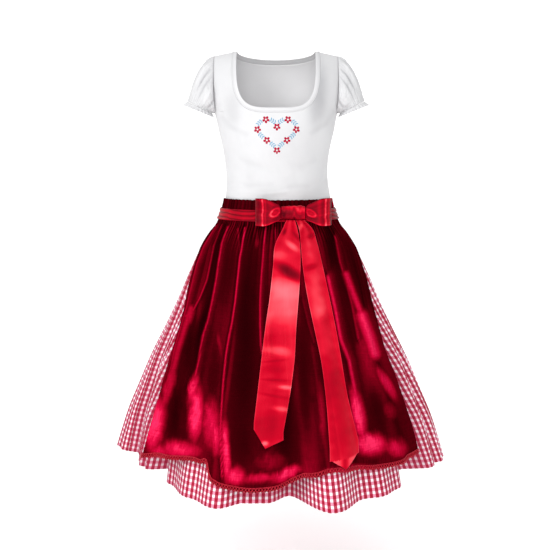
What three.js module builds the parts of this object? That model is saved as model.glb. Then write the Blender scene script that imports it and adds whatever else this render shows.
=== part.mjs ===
// Dirndl worn in form: jersey top, gingham skirt, velvet apron, satin tie and bow.
// Millimetres, +Z up, the front faces -Y. The origin lies between the two shoulder seams at the neck.
import * as THREE from 'three';

// ---------- driving sizes ----------
const JERSEY = 1.4;
const GINGHAM = 1.6;
const VELVET = 2.0;
const SATIN = 1.4;
const BRAID = 1.6;
const SEAM = 0.4;              // free gap between pieces that are sewn edge to edge
const BAND_SEAM = 0.6;         // the same under a band, where the wall turns outward
const SHOULDER_SEAM = 1.2;     // the same at the shoulder, where both walls turn over
const LAYER = 0.4;             // free gap between cloth that lies on cloth
const BAND_EASE = 0.3;         // more room under the skirt's waistband

const BAND_TOP = -362;
const BAND_FOOT = -395;
const TIE_TOP = -386;
const TIE_FOOT = -414;
const FOLD_START = -418;       // the gathers and folds spring out just below the tie
const SKIRT_HEM = -1012;
const TOP_HEM = -455;          // the top's own hem, tucked into the skirt

const ARMHOLE_X = 151;         // the armhole lies in an upright plane this far from the axis
const UNDERARM = -146;
const NECK_HALF = 95;
const NECK_DROP_FRONT = 138;
const NECK_DROP_BACK = 17;
const NECK_SQUARENESS = 4;     // 2 is an ellipse, more is squarer
const BINDING = 11;
const SHOULDER_SLOPE = 12;     // drop from the neck point to the armhole
const SHOULDER_CAP = 105;      // height over which the body rounds over to the shoulder seam

// Sections of the body the top is cut for.
const BODY = [
  { z: 0, centre: -5, half: 163, front: 98, back: 88 },
  { z: -40, centre: -5, half: 168, front: 102, back: 91 },
  { z: -80, centre: -5, half: 168, front: 107, back: 93 },
  { z: -120, centre: -5, half: 159, front: 112, back: 95 },
  { z: -146, centre: -5, half: 151, front: 115, back: 96 },
  { z: -189, centre: -4, half: 142, front: 117, back: 95 },
  { z: -245, centre: -4, half: 130, front: 111, back: 91 },
  { z: -294, centre: -3, half: 125, front: 102, back: 88 },
  { z: -334, centre: -1, half: 127, front: 98, back: 87 },
  { z: -362, centre: 0, half: 131, front: 97, back: 88 },
  { z: -395, centre: 0, half: 139, front: 101, back: 92 },
  { z: -455, centre: 0, half: 152, front: 112, back: 104 },
];

// Middle of the skirt's wall: half width at the sides, and how much less it is from front to back.
const SKIRT = [
  { z: -395, half: 141, flat: 38 },
  { z: -418, half: 152, flat: 38 },
  { z: -463, half: 184, flat: 36 },
  { z: -542, half: 224, flat: 32 },
  { z: -613, half: 254, flat: 29 },
  { z: -683, half: 287, flat: 27 },
  { z: -758, half: 324, flat: 25 },
  { z: -839, half: 358, flat: 23 },
  { z: -900, half: 383, flat: 22 },
  { z: -970, half: 405, flat: 20 },
  { z: -1012, half: 417, flat: 20 },
];

// Flutes of the skirt at its hem: angle round from the front, and distance from the axis there.
const FLUTES = [
  { angle: -97, radius: 420 },
  { angle: -84, radius: 346 },
  { angle: -67, radius: 357 },
  { angle: -58, radius: 292 },
  { angle: -44, radius: 356 },
  { angle: -29, radius: 401 },
  { angle: -18, radius: 437 },
  { angle: -11, radius: 390 },
  { angle: -4, radius: 384 },
  { angle: 4, radius: 338 },
  { angle: 15, radius: 458 },
  { angle: 28, radius: 402 },
  { angle: 34, radius: 410 },
  { angle: 43, radius: 394 },
  { angle: 58, radius: 322 },
  { angle: 63, radius: 328 },
  { angle: 69, radius: 392 },
  { angle: 83, radius: 417 },
  { angle: 97, radius: 352 },
  { angle: 111, radius: 425 },
  { angle: 124, radius: 349 },
  { angle: 136, radius: 418 },
  { angle: 148, radius: 372 },
  { angle: 158, radius: 432 },
  { angle: 171, radius: 350 },
  { angle: 184, radius: 424 },
  { angle: 195, radius: 366 },
  { angle: 207, radius: 428 },
  { angle: 221, radius: 342 },
  { angle: 233, radius: 414 },
  { angle: 246, radius: 350 },
  { angle: 263, radius: 420 },
];
const FLUTE_RISE = 1.3;        // how the flutes fade out toward the waist
const FLUTE_MIDDLE = 407;      // radius at the hem that stands neither in nor out
const GATHER_START = 20;       // height over which gathers reach their depth below the tie
const GATHER_BESIDE = 70;      // degrees from the front where the skirt's gathers come out from the apron
const GATHER_FULL = 82;
const SKIRT_GATHER = 2.0;
const SKIRT_GATHER_FADE = 150;

// Side edges of the apron, as angles from the front.
const APRON_EDGES = [
  { z: -361, left: 84, right: 84 },
  { z: -395, left: 82, right: 83 },
  { z: -452, left: 74, right: 77 },
  { z: -515, left: 68, right: 73 },
  { z: -566, left: 65, right: 70 },
  { z: -637, left: 59, right: 64 },
  { z: -710, left: 56.5, right: 57 },
  { z: -777, left: 55.6, right: 56 },
  { z: -850, left: 56, right: 56 },
  { z: -965, left: 57, right: 55 },
];

// Folds of the apron from its left edge (-1) to its right edge (1):
// how far each stands out from the skirt's plain cone half way down and at the hem. They start at the tie.
const APRON_FOLDS = [
  { across: -1.0, middle: -4, hem: -22 },
  { across: -0.9, middle: 9, hem: 0 },
  { across: -0.8, middle: -4, hem: -6 },
  { across: -0.66, middle: 17, hem: 8 },
  { across: -0.54, middle: 2, hem: 2 },
  { across: -0.39, middle: -6, hem: 0 },
  { across: -0.31, middle: 24, hem: 30 },
  { across: -0.16, middle: 12, hem: 42 },
  { across: -0.04, middle: 2, hem: 34 },
  { across: 0.08, middle: -6, hem: 14 },
  { across: 0.18, middle: 8, hem: 12 },
  { across: 0.3, middle: 12, hem: 24 },
  { across: 0.38, middle: 0, hem: 10 },
  { across: 0.48, middle: 18, hem: 20 },
  { across: 0.62, middle: -4, hem: 10 },
  { across: 0.76, middle: 20, hem: 14 },
  { across: 0.88, middle: -4, hem: 0 },
  { across: 1.0, middle: 2, hem: 0 },
];

// Height of the apron's hem across its width.
const APRON_HEM = [
  { across: -1.0, z: -962 },
  { across: -0.85, z: -945 },
  { across: -0.6, z: -928 },
  { across: -0.42, z: -922 },
  { across: -0.33, z: -950 },
  { across: -0.2, z: -965 },
  { across: 0.0, z: -963 },
  { across: 0.13, z: -946 },
  { across: 0.26, z: -931 },
  { across: 0.4, z: -934 },
  { across: 0.6, z: -946 },
  { across: 0.85, z: -947 },
  { across: 1.0, z: -945 },
];
const APRON_GATHER = 1.9;
const APRON_GATHER_FADE = 130;
const BRAID_WIDTH = 11;
const APRON_FREE = 60;         // height below the tie over which the apron comes free of the skirt
const SLOPE_ROOM = 0.5;        // more room where the two walls start to slope
const APRON_ROOM = 3;          // and where they hang free
const BRIDGE = 3;              // degrees over which the apron bridges the skirt's troughs
const APRON_ROUND = 9;         // how softly the apron turns from its own fold to the skirt's
const APRON_FRILL = 0.9;       // how far the gathers stand up along the band's top
const BRAID_STAND = 0.3;       // gap behind the apron, where the braid is sewn on

// Sleeve: the cuff ring hangs outside and below the armhole.
const CUFF = { x: 188, shift: -5, z: -134, halfWidth: 29, halfDepth: 46, tilt: 14 };
const SLEEVE_PUFF = 15;
const SLEEVE_PUFF_HIGH = 0.7;  // below 1 the puff is fullest nearer the armhole
const SLEEVE_PUFF_OUT = { side: 0.75, front: 1, up: 0.65 };
const SLEEVE_UPPER = 0.25;     // how far past the side the gathered head of the sleeve goes
const SLEEVE_GATHER = 1.6;
const FRILL = 11;
const FRILL_START = 1.5;       // below the elastic
const FRILL_WAVE = 1.8;
const FRILL_FALL = { side: 0.35, flare: 0.4, front: 0.45, down: 0.85 };

// Degrees from the front over which the tie steps down from the apron's band to the skirt's.
const TIE_STEP = 86;
const TIE_STEP_END = 96;

// Bow on the tie.
const KNOT = { x: 36, z: -386, depth: 119, length: 56, halfHeight: 15.5, halfDepth: 10, swell: 0.08 };
const LOOP = {
  left: -54,
  right: 127,
  halfHeight: 32,
  pinch: 12.2,                 // half height beside the knot
  opening: 45,                 // length over which it opens to its full height
  fullness: 15.6,              // how far the front of the loop swells
  behind: 0.35,                // share of that behind
  layers: 1.6,                 // half the room between the two layers in the knot
  lift: 2,                     // how much higher the outer end sits
  lean: 0.34,                  // how the lower part leans forward over the apron
  inside: 4,                   // length held inside the knot
};
const BOW_CURVE = { left: 0.0006, right: 0.0042 };   // how the loops curve back round the waist
const TAIL_LEFT = [
  { z: -403.8, from: 20, to: 40 },
  { z: -425, from: 10, to: 46 },
  { z: -455, from: -6, to: 51 },
  { z: -505, from: -12, to: 52 },
  { z: -575, from: -20, to: 47 },
  { z: -640, from: -30, to: 41 },
  { z: -710, from: -39, to: 36 },
  { z: -775, from: -47, to: 25 },
  { z: -830, from: -54, to: 11 },
];
const TAIL_RIGHT = [
  { z: -403.8, from: 43, to: 62 },
  { z: -425, from: 50, to: 82 },
  { z: -455, from: 53, to: 92 },
  { z: -505, from: 57, to: 104 },
  { z: -575, from: 68, to: 119 },
  { z: -640, from: 82, to: 132 },
  { z: -710, from: 97, to: 144 },
  { z: -775, from: 105, to: 154 },
  { z: -880, from: 112, to: 178 },
];
const TAIL_POINT_LEFT = 42;    // how far the slanted end hangs below its corners
const TAIL_POINT_RIGHT = 26;
const TAIL_PLAIN = 0.75;       // share of a tail above its slanted end
const TAIL_REACH = [-16, -8, 0, 8, 16];   // a tail rests on the highest cloth this far to its sides
const TAIL_STAND = [
  { z: -403.8, out: 7 },
  { z: -414, out: 3.2 },
  { z: -430, out: 3.2 },
  { z: -1012, out: 3.2 },
];

// Columns and rows of the grids.
const ROWS = {
  skirt: [0, 0.031, 0.075, 0.16, 0.37, 0.66, 1],
  apron: [0, 0.034, 0.075, 0.15, 0.3, 0.5, 0.74, 1],
  bodice: [0, 0.18, 0.36, 0.54, 0.7, 0.83, 0.93, 1],
  sleeve: [0, 0.14, 0.36, 0.62, 0.86, 1],
  tail: [0, 0.035, 0.08, 0.16, 0.28, 0.4, 0.52, 0.64, 0.76, 0.88, 1],
};
const COLUMNS = {
  skirtFront: 76, skirtBack: 80, apron: 70, strap: 3, neckline: 18,
  sleeve: 36, frill: 40, band: 60, tie: 72, loop: 24, loopRows: 4, knot: 20, knotRows: 4, tail: 6,
  turnIn: 1.6,                 // how late up the top its columns lean in to the neck and shoulders
};

const RADIANS = Math.PI / 180;
const clamp01 = (value) => Math.min(1, Math.max(0, value));
const blend = (from, to, share) => from + (to - from) * share;
const ease = (share) => (1 - Math.cos(Math.PI * clamp01(share))) / 2;
const fractions = (count) => Array.from({ length: count + 1 }, (unused, i) => i / count);
const zigzag = (position) => Math.cos(Math.PI * position);

// Value of a column of a table at a key, straight or eased between the rows.
function look(table, key, at, column, shape = clamp01) {
  const rising = table[1][key] > table[0][key];
  const before = (row) => (rising ? row[key] <= at : row[key] >= at);
  const last = table.length - 2;
  let index = 0;
  while (index < last && before(table[index + 1])) {
    index += 1;
  }
  const low = table[index];
  const high = table[index + 1];
  const share = shape((at - low[key]) / (high[key] - low[key]));
  return blend(low[column], high[column], share);
}

// ---------- walls of cloth ----------
// A grid of points with a normal at each, from a surface function of two shares. The function gives
// a point, or a point with its own normal where the grid's lines run nearly along each other.
function gridOf(acrossShares, downShares, pointAt, closed = false) {
  const across = closed ? acrossShares.slice(0, -1) : acrossShares;
  const placed = across.map((u, i) => downShares.map((v, j) => pointAt(u, v, i, j)));
  const points = placed.map((column) => column.map((spot) => spot.point ?? spot));
  const columns = points.length;
  const rows = downShares.length;
  const pick = (i, j) => {
    const column = closed ? (i + columns) % columns : Math.min(columns - 1, Math.max(0, i));
    return points[column][Math.min(rows - 1, Math.max(0, j))];
  };
  const normals = placed.map((column, i) => column.map((spot, j) => {
    if (spot.normal) {
      return spot.normal;
    }
    const along = pick(i + 1, j).clone().sub(pick(i - 1, j));
    const down = pick(i, j + 1).clone().sub(pick(i, j - 1));
    return along.cross(down).normalize();
  }));
  return { points, normals, columns, rows, closed };
}

// A closed wall round the grid, `lift` off it along the normals.
function wallOf(grid, thickness, lift = 0) {
  const { points, normals, columns, rows, closed } = grid;
  const positions = [];
  const faces = [];
  const place = (i, j, distance) => {
    const point = points[i][j].clone().addScaledVector(normals[i][j], distance);
    positions.push(point.x, point.y, point.z);
  };
  for (const side of [lift + thickness / 2, lift - thickness / 2]) {
    for (let i = 0; i < columns; i += 1) {
      for (let j = 0; j < rows; j += 1) {
        place(i, j, side);
      }
    }
  }
  const sheet = columns * rows;
  const outer = (i, j) => (i % columns) * rows + j;
  const inner = (i, j) => sheet + outer(i, j);
  const quad = (a, b, c, d) => faces.push(a, b, c, a, c, d);
  const spans = closed ? columns : columns - 1;
  for (let i = 0; i < spans; i += 1) {
    for (let j = 0; j < rows - 1; j += 1) {
      quad(outer(i, j), outer(i + 1, j), outer(i + 1, j + 1), outer(i, j + 1));
      quad(inner(i, j), inner(i, j + 1), inner(i + 1, j + 1), inner(i + 1, j));
    }
    quad(outer(i, 0), inner(i, 0), inner(i + 1, 0), outer(i + 1, 0));
    quad(outer(i, rows - 1), outer(i + 1, rows - 1), inner(i + 1, rows - 1), inner(i, rows - 1));
  }
  if (!closed) {
    const end = columns - 1;
    for (let j = 0; j < rows - 1; j += 1) {
      quad(outer(0, j), outer(0, j + 1), inner(0, j + 1), inner(0, j));
      quad(outer(end, j), inner(end, j), inner(end, j + 1), outer(end, j + 1));
    }
  }
  return facingOut(positions, faces);
}

function facingOut(positions, faces) {
  const corner = (index) => new THREE.Vector3().fromArray(positions, index * 3);
  let volume = 0;
  for (let f = 0; f < faces.length; f += 3) {
    const [a, b, c] = [corner(faces[f]), corner(faces[f + 1]), corner(faces[f + 2])];
    volume += a.dot(b.cross(c));
  }
  const ordered = volume > 0 ? faces : faces.slice().reverse();
  const geometry = new THREE.BufferGeometry();
  geometry.setAttribute('position', new THREE.Float32BufferAttribute(positions, 3));
  geometry.setIndex(ordered);
  geometry.computeVertexNormals();
  return geometry;
}

// ---------- top ----------
const shoulderHeight = (x) => (
  -SHOULDER_SLOPE * clamp01((Math.abs(x) - NECK_HALF) / (ARMHOLE_X - NECK_HALF))
);

function armholeAngle(z) {
  return Math.asin(Math.min(1, ARMHOLE_X / look(BODY, 'z', z, 'half')));
}

// Front (facing 1) or back (facing -1) of the top, `across` from one armhole (-1) to the other (1).
function bodyPoint(facing, across, z) {
  const angle = across * armholeAngle(z);
  const x = look(BODY, 'z', z, 'half') * Math.sin(angle);
  const depth = look(BODY, 'z', z, facing > 0 ? 'front' : 'back') * Math.cos(angle);
  const below = clamp01((shoulderHeight(x) - z) / SHOULDER_CAP);
  const cap = Math.sqrt(1 - (1 - below) ** 2);
  const apart = blend(SHOULDER_SEAM, SEAM, cap) / 2;
  return new THREE.Vector3(look(BODY, 'z', z, 'centre') + x, -facing * (apart + depth * cap), z);
}

function bodySpot(facing, across, z) {
  const along = bodyPoint(facing, across + 0.01, z).sub(bodyPoint(facing, across - 0.01, z));
  const up = bodyPoint(facing, across, z + 1).sub(bodyPoint(facing, across, z - 1));
  const normal = along.cross(up).normalize().multiplyScalar(facing);
  return { point: bodyPoint(facing, across, z), normal };
}

// Neck opening seen from the front, a share of the way from the left shoulder to the right one.
function neckOutline(facing, share) {
  const turn = Math.PI * ease(share);
  const power = facing > 0 ? 2 / NECK_SQUARENESS : 1;
  const drop = facing > 0 ? NECK_DROP_FRONT : NECK_DROP_BACK;
  const side = Math.sign(Math.cos(turn)) * Math.abs(Math.cos(turn)) ** power;
  return new THREE.Vector2(-NECK_HALF * side, -drop * Math.abs(Math.sin(turn)) ** power);
}

// A point `away` from the neck opening, square to it; level with the shoulder at both ends.
function besideNeck(facing, share, away) {
  const step = 0.01;
  const middle = neckOutline(facing, share);
  if (share < step) {
    return new THREE.Vector2(middle.x - away, shoulderHeight(middle.x - away));
  }
  if (share > 1 - step) {
    return new THREE.Vector2(middle.x + away, shoulderHeight(middle.x + away));
  }
  const along = neckOutline(facing, share + step).sub(neckOutline(facing, share - step)).normalize();
  return new THREE.Vector2(middle.x + along.y * away, middle.y - along.x * away);
}

function acrossAt(x, z) {
  return Math.asin(x / look(BODY, 'z', z, 'half')) / armholeAngle(z);
}

// Where each column of a panel ends: on the shoulder seam or under the neck binding.
function panelTops(facing) {
  const edge = NECK_HALF + BINDING + SEAM;
  const strap = fractions(COLUMNS.strap).map((share) => {
    const x = blend(ARMHOLE_X, edge, share);
    return { x: -x, z: shoulderHeight(x), across: share === 0 ? -1 : null };
  });
  const neck = fractions(COLUMNS.neckline).slice(1, -1).map((share) => {
    const point = besideNeck(facing, share, BINDING + SEAM);
    return { x: point.x, z: point.y, across: null };
  });
  const mirrored = strap.slice().reverse().map((top) => (
    { x: -top.x, z: top.z, across: top.across === null ? null : 1 }
  ));
  return [...strap, ...neck, ...mirrored];
}

function bodicePanel(facing) {
  const tops = panelTops(facing);
  const tucked = [TOP_HEM, BAND_FOOT, BAND_TOP];
  const heights = [...tucked.map(() => 0), ...ROWS.bodice.slice(1)];
  return gridOf(fractions(tops.length - 1), heights, (u, v, i, j) => {
    const top = tops[i];
    const z = j < tucked.length ? tucked[j] : blend(BAND_TOP, top.z, v);
    const end = top.across ?? acrossAt(top.x, top.z);
    return bodySpot(facing, blend(2 * u - 1, end, v ** COLUMNS.turnIn), z);
  });
}

function neckRing(away) {
  const ends = (facing) => fractions(COLUMNS.neckline)
    .slice(facing > 0 ? 0 : 1, facing > 0 ? undefined : -1)
    .map((share) => ({ facing, share: facing > 0 ? share : 1 - share }));
  return [...ends(1), ...ends(-1)].map(({ facing, share }) => {
    const flat = besideNeck(facing, share, away);
    return bodySpot(facing, acrossAt(flat.x, flat.y), flat.y);
  });
}

function neckBinding() {
  const rings = [0.2, BINDING / 2, BINDING].map(neckRing);
  const count = rings[0].length;
  return gridOf(fractions(count), [0, 0.5, 1], (u, v, i, j) => rings[j][i], true);
}

// ---------- sleeves ----------
function armholePoint(side, turn) {
  const middle = (UNDERARM - SHOULDER_SLOPE) / 2;
  const halfHeight = (-SHOULDER_SLOPE - UNDERARM) / 2;
  const z = middle + halfHeight * Math.cos(turn);
  const edge = bodyPoint(Math.sin(turn) >= 0 ? 1 : -1, side, z);
  return edge.add(new THREE.Vector3(side * (JERSEY + SEAM), 0, 0));
}

function cuffPoint(side, turn) {
  return new THREE.Vector3(
    side * (CUFF.x + CUFF.halfWidth * Math.cos(turn)) + CUFF.shift,
    -CUFF.halfDepth * Math.sin(turn),
    CUFF.z + CUFF.tilt * Math.cos(turn),
  );
}

function sleeve(side) {
  return gridOf(fractions(COLUMNS.sleeve), ROWS.sleeve, (u, v, i) => {
    const turn = 2 * Math.PI * u;
    const upper = clamp01(SLEEVE_UPPER + Math.cos(turn));
    const front = Math.abs(Math.sin(turn));
    const puff = SLEEVE_PUFF * Math.sin(Math.PI * v ** SLEEVE_PUFF_HIGH) * Math.max(upper, front);
    const pleat = SLEEVE_GATHER * zigzag(i) * upper * Math.sin(Math.PI * v) ** 0.5;
    const out = new THREE.Vector3(
      side * SLEEVE_PUFF_OUT.side * Math.cos(turn),
      -SLEEVE_PUFF_OUT.front * Math.sin(turn),
      SLEEVE_PUFF_OUT.up * Math.cos(turn),
    );
    const seam = armholePoint(side, turn);
    return seam.lerp(cuffPoint(side, turn), v).addScaledVector(out, puff + pleat);
  }, true);
}

function sleeveFrill(side) {
  return gridOf(fractions(COLUMNS.frill), [0, 1], (u, v, i) => {
    const turn = 2 * Math.PI * u;
    const fall = new THREE.Vector3(
      side * (FRILL_FALL.side + FRILL_FALL.flare * Math.cos(turn)),
      -FRILL_FALL.front * Math.sin(turn),
      -FRILL_FALL.down,
    );
    const wave = new THREE.Vector3(side * Math.cos(turn), -Math.sin(turn), 0);
    return cuffPoint(side, turn)
      .addScaledVector(fall, blend(FRILL_START, FRILL, v))
      .addScaledVector(wave, FRILL_WAVE * zigzag(i) * v);
  }, true);
}

// ---------- skirt ----------
const ringPoint = (turn, halfWidth, halfDepth, z) => (
  new THREE.Vector3(halfWidth * Math.sin(turn), -halfDepth * Math.cos(turn), z)
);

// Bands go on the body's own section, `out` from it.
function bandPoint(angle, z, out) {
  const turn = angle * RADIANS;
  const depth = look(BODY, 'z', z, Math.cos(turn) >= 0 ? 'front' : 'back');
  return ringPoint(turn, look(BODY, 'z', z, 'half') + out, depth + out, z);
}

const SKIRT_BAND_OUT = JERSEY / 2 + LAYER + GINGHAM / 2 + BAND_EASE;
const APRON_BAND_OUT = SKIRT_BAND_OUT + GINGHAM / 2 + LAYER + VELVET / 2;
const BRAID_LIFT = VELVET / 2 + BRAID_STAND + BRAID / 2;

function fluteAt(angle) {
  const first = FLUTES[0].angle;
  const wrapped = first + (((angle - first) % 360) + 360) % 360;
  return look(FLUTES, 'angle', wrapped, 'radius', ease) - FLUTE_MIDDLE;
}

// How far the skirt stands out from its plain cone.
function skirtFold(angle, z) {
  const fall = clamp01((FOLD_START - z) / (FOLD_START - SKIRT_HEM));
  return fluteAt(angle) * fall ** FLUTE_RISE;
}

function conePoint(angle, z, fold) {
  const half = look(SKIRT, 'z', z, 'half');
  return ringPoint(angle * RADIANS, half + fold, half - look(SKIRT, 'z', z, 'flat') + fold, z);
}

function gatherDepth(z, depth, fade) {
  const below = FOLD_START - z;
  return depth * clamp01(below / GATHER_START) * clamp01(1 - below / fade);
}

function skirtPanel(middleAngle, columns) {
  return gridOf(fractions(columns), ROWS.skirt, (u, v, i, j) => {
    const z = j === 1 ? FOLD_START : blend(BAND_FOOT - BAND_SEAM, SKIRT_HEM, v);
    const gap = SEAM / 2 / look(SKIRT, 'z', z, 'half') / RADIANS;
    const angle = middleAngle + blend(-90 + gap, 90 - gap, u);
    const beside = clamp01((Math.abs(angle) - GATHER_BESIDE) / (GATHER_FULL - GATHER_BESIDE));
    const open = middleAngle === 0 ? beside : 1;
    const inside = Math.min(i, columns - i) > 1 ? 1 : 0;
    const gather = gatherDepth(z, SKIRT_GATHER, SKIRT_GATHER_FADE) * (zigzag(i) - 1) * open * inside;
    return conePoint(angle, z, skirtFold(angle, z) + gather);
  });
}

function skirtBand() {
  return gridOf(fractions(COLUMNS.band), [0, 1], (u, v) => (
    bandPoint(360 * u, blend(BAND_TOP, BAND_FOOT, v), SKIRT_BAND_OUT)
  ), true);
}

// ---------- apron ----------
function apronAngle(across, z) {
  return across * look(APRON_EDGES, 'z', z, across < 0 ? 'left' : 'right');
}

const softMax = (a, b, round) => (a + b + Math.hypot(a - b, round)) / 2;

function apronFold(across, z) {
  const foot = look(APRON_HEM, 'across', across, 'z');
  const fall = clamp01((FOLD_START - z) / (FOLD_START - foot));
  const middle = look(APRON_FOLDS, 'across', across, 'middle', ease);
  const hem = look(APRON_FOLDS, 'across', across, 'hem', ease);
  return fall < 0.5 ? middle * fall * 2 : blend(middle, hem, ease(fall * 2 - 1));
}

// Middle of the apron's wall: it follows its own folds and rides over the skirt's flutes.
function apronPoint(across, z, gather = 1) {
  const angle = apronAngle(across, z);
  const free = clamp01((FOLD_START - z) / APRON_FREE);
  const under = Math.max(...[-BRIDGE, 0, BRIDGE].map((turn) => skirtFold(angle + turn, z)));
  const slope = clamp01((BAND_FOOT - z) / (BAND_FOOT - FOLD_START));
  const clear = GINGHAM / 2 + LAYER + VELVET / 2 + SLOPE_ROOM * slope + APRON_ROOM * free;
  const fold = softMax(under + clear, apronFold(across, z) + clear, APRON_ROUND * free);
  const crease = gatherDepth(z, APRON_GATHER, APRON_GATHER_FADE) * (gather + 1);
  return conePoint(angle, z, fold + crease);
}

function apronGrid() {
  const rows = [...ROWS.apron, 2];
  return gridOf(fractions(COLUMNS.apron), rows, (u, v, i, j) => {
    const across = 2 * u - 1;
    const foot = look(APRON_HEM, 'across', across, 'z');
    const plain = v > 1 ? foot : blend(BAND_FOOT - BAND_SEAM, foot + BRAID_WIDTH, v);
    const z = j === 1 ? FOLD_START : plain;
    const inside = Math.min(i, COLUMNS.apron - i) > 0;
    return apronPoint(across, z, inside ? zigzag(i) : -1);
  });
}

// The last two rows of the apron carry the braid.
function braidGrid(apron) {
  const lastTwo = (columns) => columns.map((column) => column.slice(-2));
  return { ...apron, points: lastTwo(apron.points), normals: lastTwo(apron.normals), rows: 2 };
}

function apronBand() {
  return gridOf(fractions(COLUMNS.apron), [0, 1], (u, v, i) => {
    const top = BAND_TOP + APRON_FRILL * zigzag(i);
    const z = blend(top, BAND_FOOT, v);
    return bandPoint(apronAngle(2 * u - 1, BAND_FOOT), z, APRON_BAND_OUT);
  });
}

// ---------- tie and bow ----------
// Outside of the cloth under the tie: the bands above their seam, the skirt and apron below it.
function underTie(angle, z) {
  const apronShare = clamp01((TIE_STEP_END - Math.abs(angle)) / (TIE_STEP_END - TIE_STEP));
  const extra = blend(0, APRON_BAND_OUT - SKIRT_BAND_OUT, apronShare);
  const upper = bandPoint(angle, Math.max(z, BAND_FOOT), SKIRT_BAND_OUT + extra);
  if (z >= BAND_FOOT) {
    return upper;
  }
  const lower = conePoint(angle, z, skirtFold(angle, z) + extra);
  return lower.lengthSq() > upper.lengthSq() ? lower : upper.setZ(z);
}

function tiePoint(angle, z) {
  const point = underTie(angle, z);
  const out = new THREE.Vector3(point.x, point.y, 0).normalize();
  return point.addScaledVector(out, VELVET / 2 + LAYER + SATIN / 2 + SLOPE_ROOM);
}

function waistTie() {
  return gridOf(fractions(COLUMNS.tie), [0, 0.34, 0.66, 1], (u, v) => (
    tiePoint(360 * u - 180, blend(TIE_TOP, TIE_FOOT, v))
  ), true);
}

// Middle line of the bow from left to right, curving back round the waist.
function bowDepth(x) {
  const away = Math.max(0, Math.abs(x - KNOT.x) - KNOT.length / 2);
  return KNOT.depth - (x > KNOT.x ? BOW_CURVE.right : BOW_CURVE.left) * away * away;
}

function bowLoop(side) {
  const start = KNOT.x + side * (KNOT.length / 2 - LOOP.inside);
  const reach = Math.abs((side < 0 ? LOOP.left : LOOP.right) - start);
  return gridOf(fractions(COLUMNS.loop), fractions(COLUMNS.loopRows), (u, v) => {
    const out = Math.sin(Math.PI * u) ** 2;
    const x = start + side * reach * out;
    const swell = LOOP.fullness * Math.sin(2 * Math.PI * u) * Math.sin(Math.PI * u);
    const offset = swell * (swell > 0 ? 1 : LOOP.behind) + LOOP.layers * Math.cos(Math.PI * u);
    const tall = blend(LOOP.pinch, LOOP.halfHeight, ease((reach * out - LOOP.inside) / LOOP.opening));
    const rise = LOOP.lift * out + tall * (1 - 2 * v);
    const lean = LOOP.lean * Math.sqrt(out) * Math.max(0, -rise);
    return new THREE.Vector3(x, -(bowDepth(x) + offset + lean), KNOT.z + rise);
  });
}

function bowKnot() {
  return gridOf(fractions(COLUMNS.knot), fractions(COLUMNS.knotRows), (u, v) => {
    const turn = 2 * Math.PI * u;
    const x = KNOT.x + KNOT.length * (v - 0.5);
    const swell = 1 + KNOT.swell * Math.sin(Math.PI * v);
    return new THREE.Vector3(
      x,
      -(KNOT.depth + KNOT.halfDepth * swell * Math.cos(turn)),
      KNOT.z + KNOT.halfHeight * swell * Math.sin(turn),
    );
  }, true);
}

// How far forward the cloth stands at a place seen from the front.
function frontDepth(x, z) {
  const surface = (angle) => {
    if (z >= TIE_FOOT) {
      return tiePoint(angle, z);
    }
    const edge = look(APRON_EDGES, 'z', z, angle < 0 ? 'left' : 'right');
    return apronPoint(angle / edge, z);
  };
  let angle = 0;
  let point = surface(angle);
  for (let pass = 0; pass < 12; pass += 1) {
    const halfWidth = Math.hypot(point.x, point.y);
    angle = Math.asin(Math.max(-0.9, Math.min(0.9, x / halfWidth))) / RADIANS;
    point = surface(angle);
  }
  return -point.y;
}

function bowTail(table, pointDrop) {
  const top = table[0].z;
  const foot = table[table.length - 1].z;
  return gridOf(fractions(COLUMNS.tail), ROWS.tail, (u, v) => {
    const slant = pointDrop * (1 - Math.abs(2 * u - 1)) * clamp01((v - TAIL_PLAIN) / (1 - TAIL_PLAIN));
    const z = blend(top, foot, v);
    const x = blend(look(table, 'z', z, 'from'), look(table, 'z', z, 'to'), u);
    const stand = look(TAIL_STAND, 'z', z, 'out');
    const depth = Math.max(...TAIL_REACH.map((step) => frontDepth(x + step, z - slant)));
    return new THREE.Vector3(x, -(depth + stand), z - slant);
  });
}

// ---------- assembly ----------
const COLOURS = {
  jersey: { color: '#eef0f3', roughness: 0.9 },
  gingham: { color: '#c9556f', roughness: 0.85 },
  velvet: { color: '#7a0018', roughness: 0.55 },
  satin: { color: '#d5102e', roughness: 0.35 },
  braid: { color: '#c81f2a', roughness: 0.7 },
};

const dirndl = new THREE.Group();
dirndl.name = 'dirndl';

function piece(name, cloth, geometry) {
  const material = new THREE.MeshStandardMaterial({ ...COLOURS[cloth], metalness: 0 });
  material.name = cloth;
  const mesh = new THREE.Mesh(geometry, material);
  mesh.name = name;
  dirndl.add(mesh);
}

piece('bodice_front', 'jersey', wallOf(bodicePanel(1), JERSEY));
piece('bodice_back', 'jersey', wallOf(bodicePanel(-1), JERSEY));
piece('neck_binding', 'jersey', wallOf(neckBinding(), JERSEY));
for (const [name, side] of [['left', -1], ['right', 1]]) {
  piece(`sleeve_${name}`, 'jersey', wallOf(sleeve(side), JERSEY));
  piece(`sleeve_frill_${name}`, 'jersey', wallOf(sleeveFrill(side), JERSEY));
}
piece('skirt_front', 'gingham', wallOf(skirtPanel(0, COLUMNS.skirtFront), GINGHAM));
piece('skirt_back', 'gingham', wallOf(skirtPanel(180, COLUMNS.skirtBack), GINGHAM));
piece('skirt_waistband', 'gingham', wallOf(skirtBand(), GINGHAM));

const apron = apronGrid();
piece('apron', 'velvet', wallOf(apron, VELVET));
piece('apron_band', 'velvet', wallOf(apronBand(), VELVET));
piece('apron_braid', 'braid', wallOf(braidGrid(apron), BRAID, -BRAID_LIFT));

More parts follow.
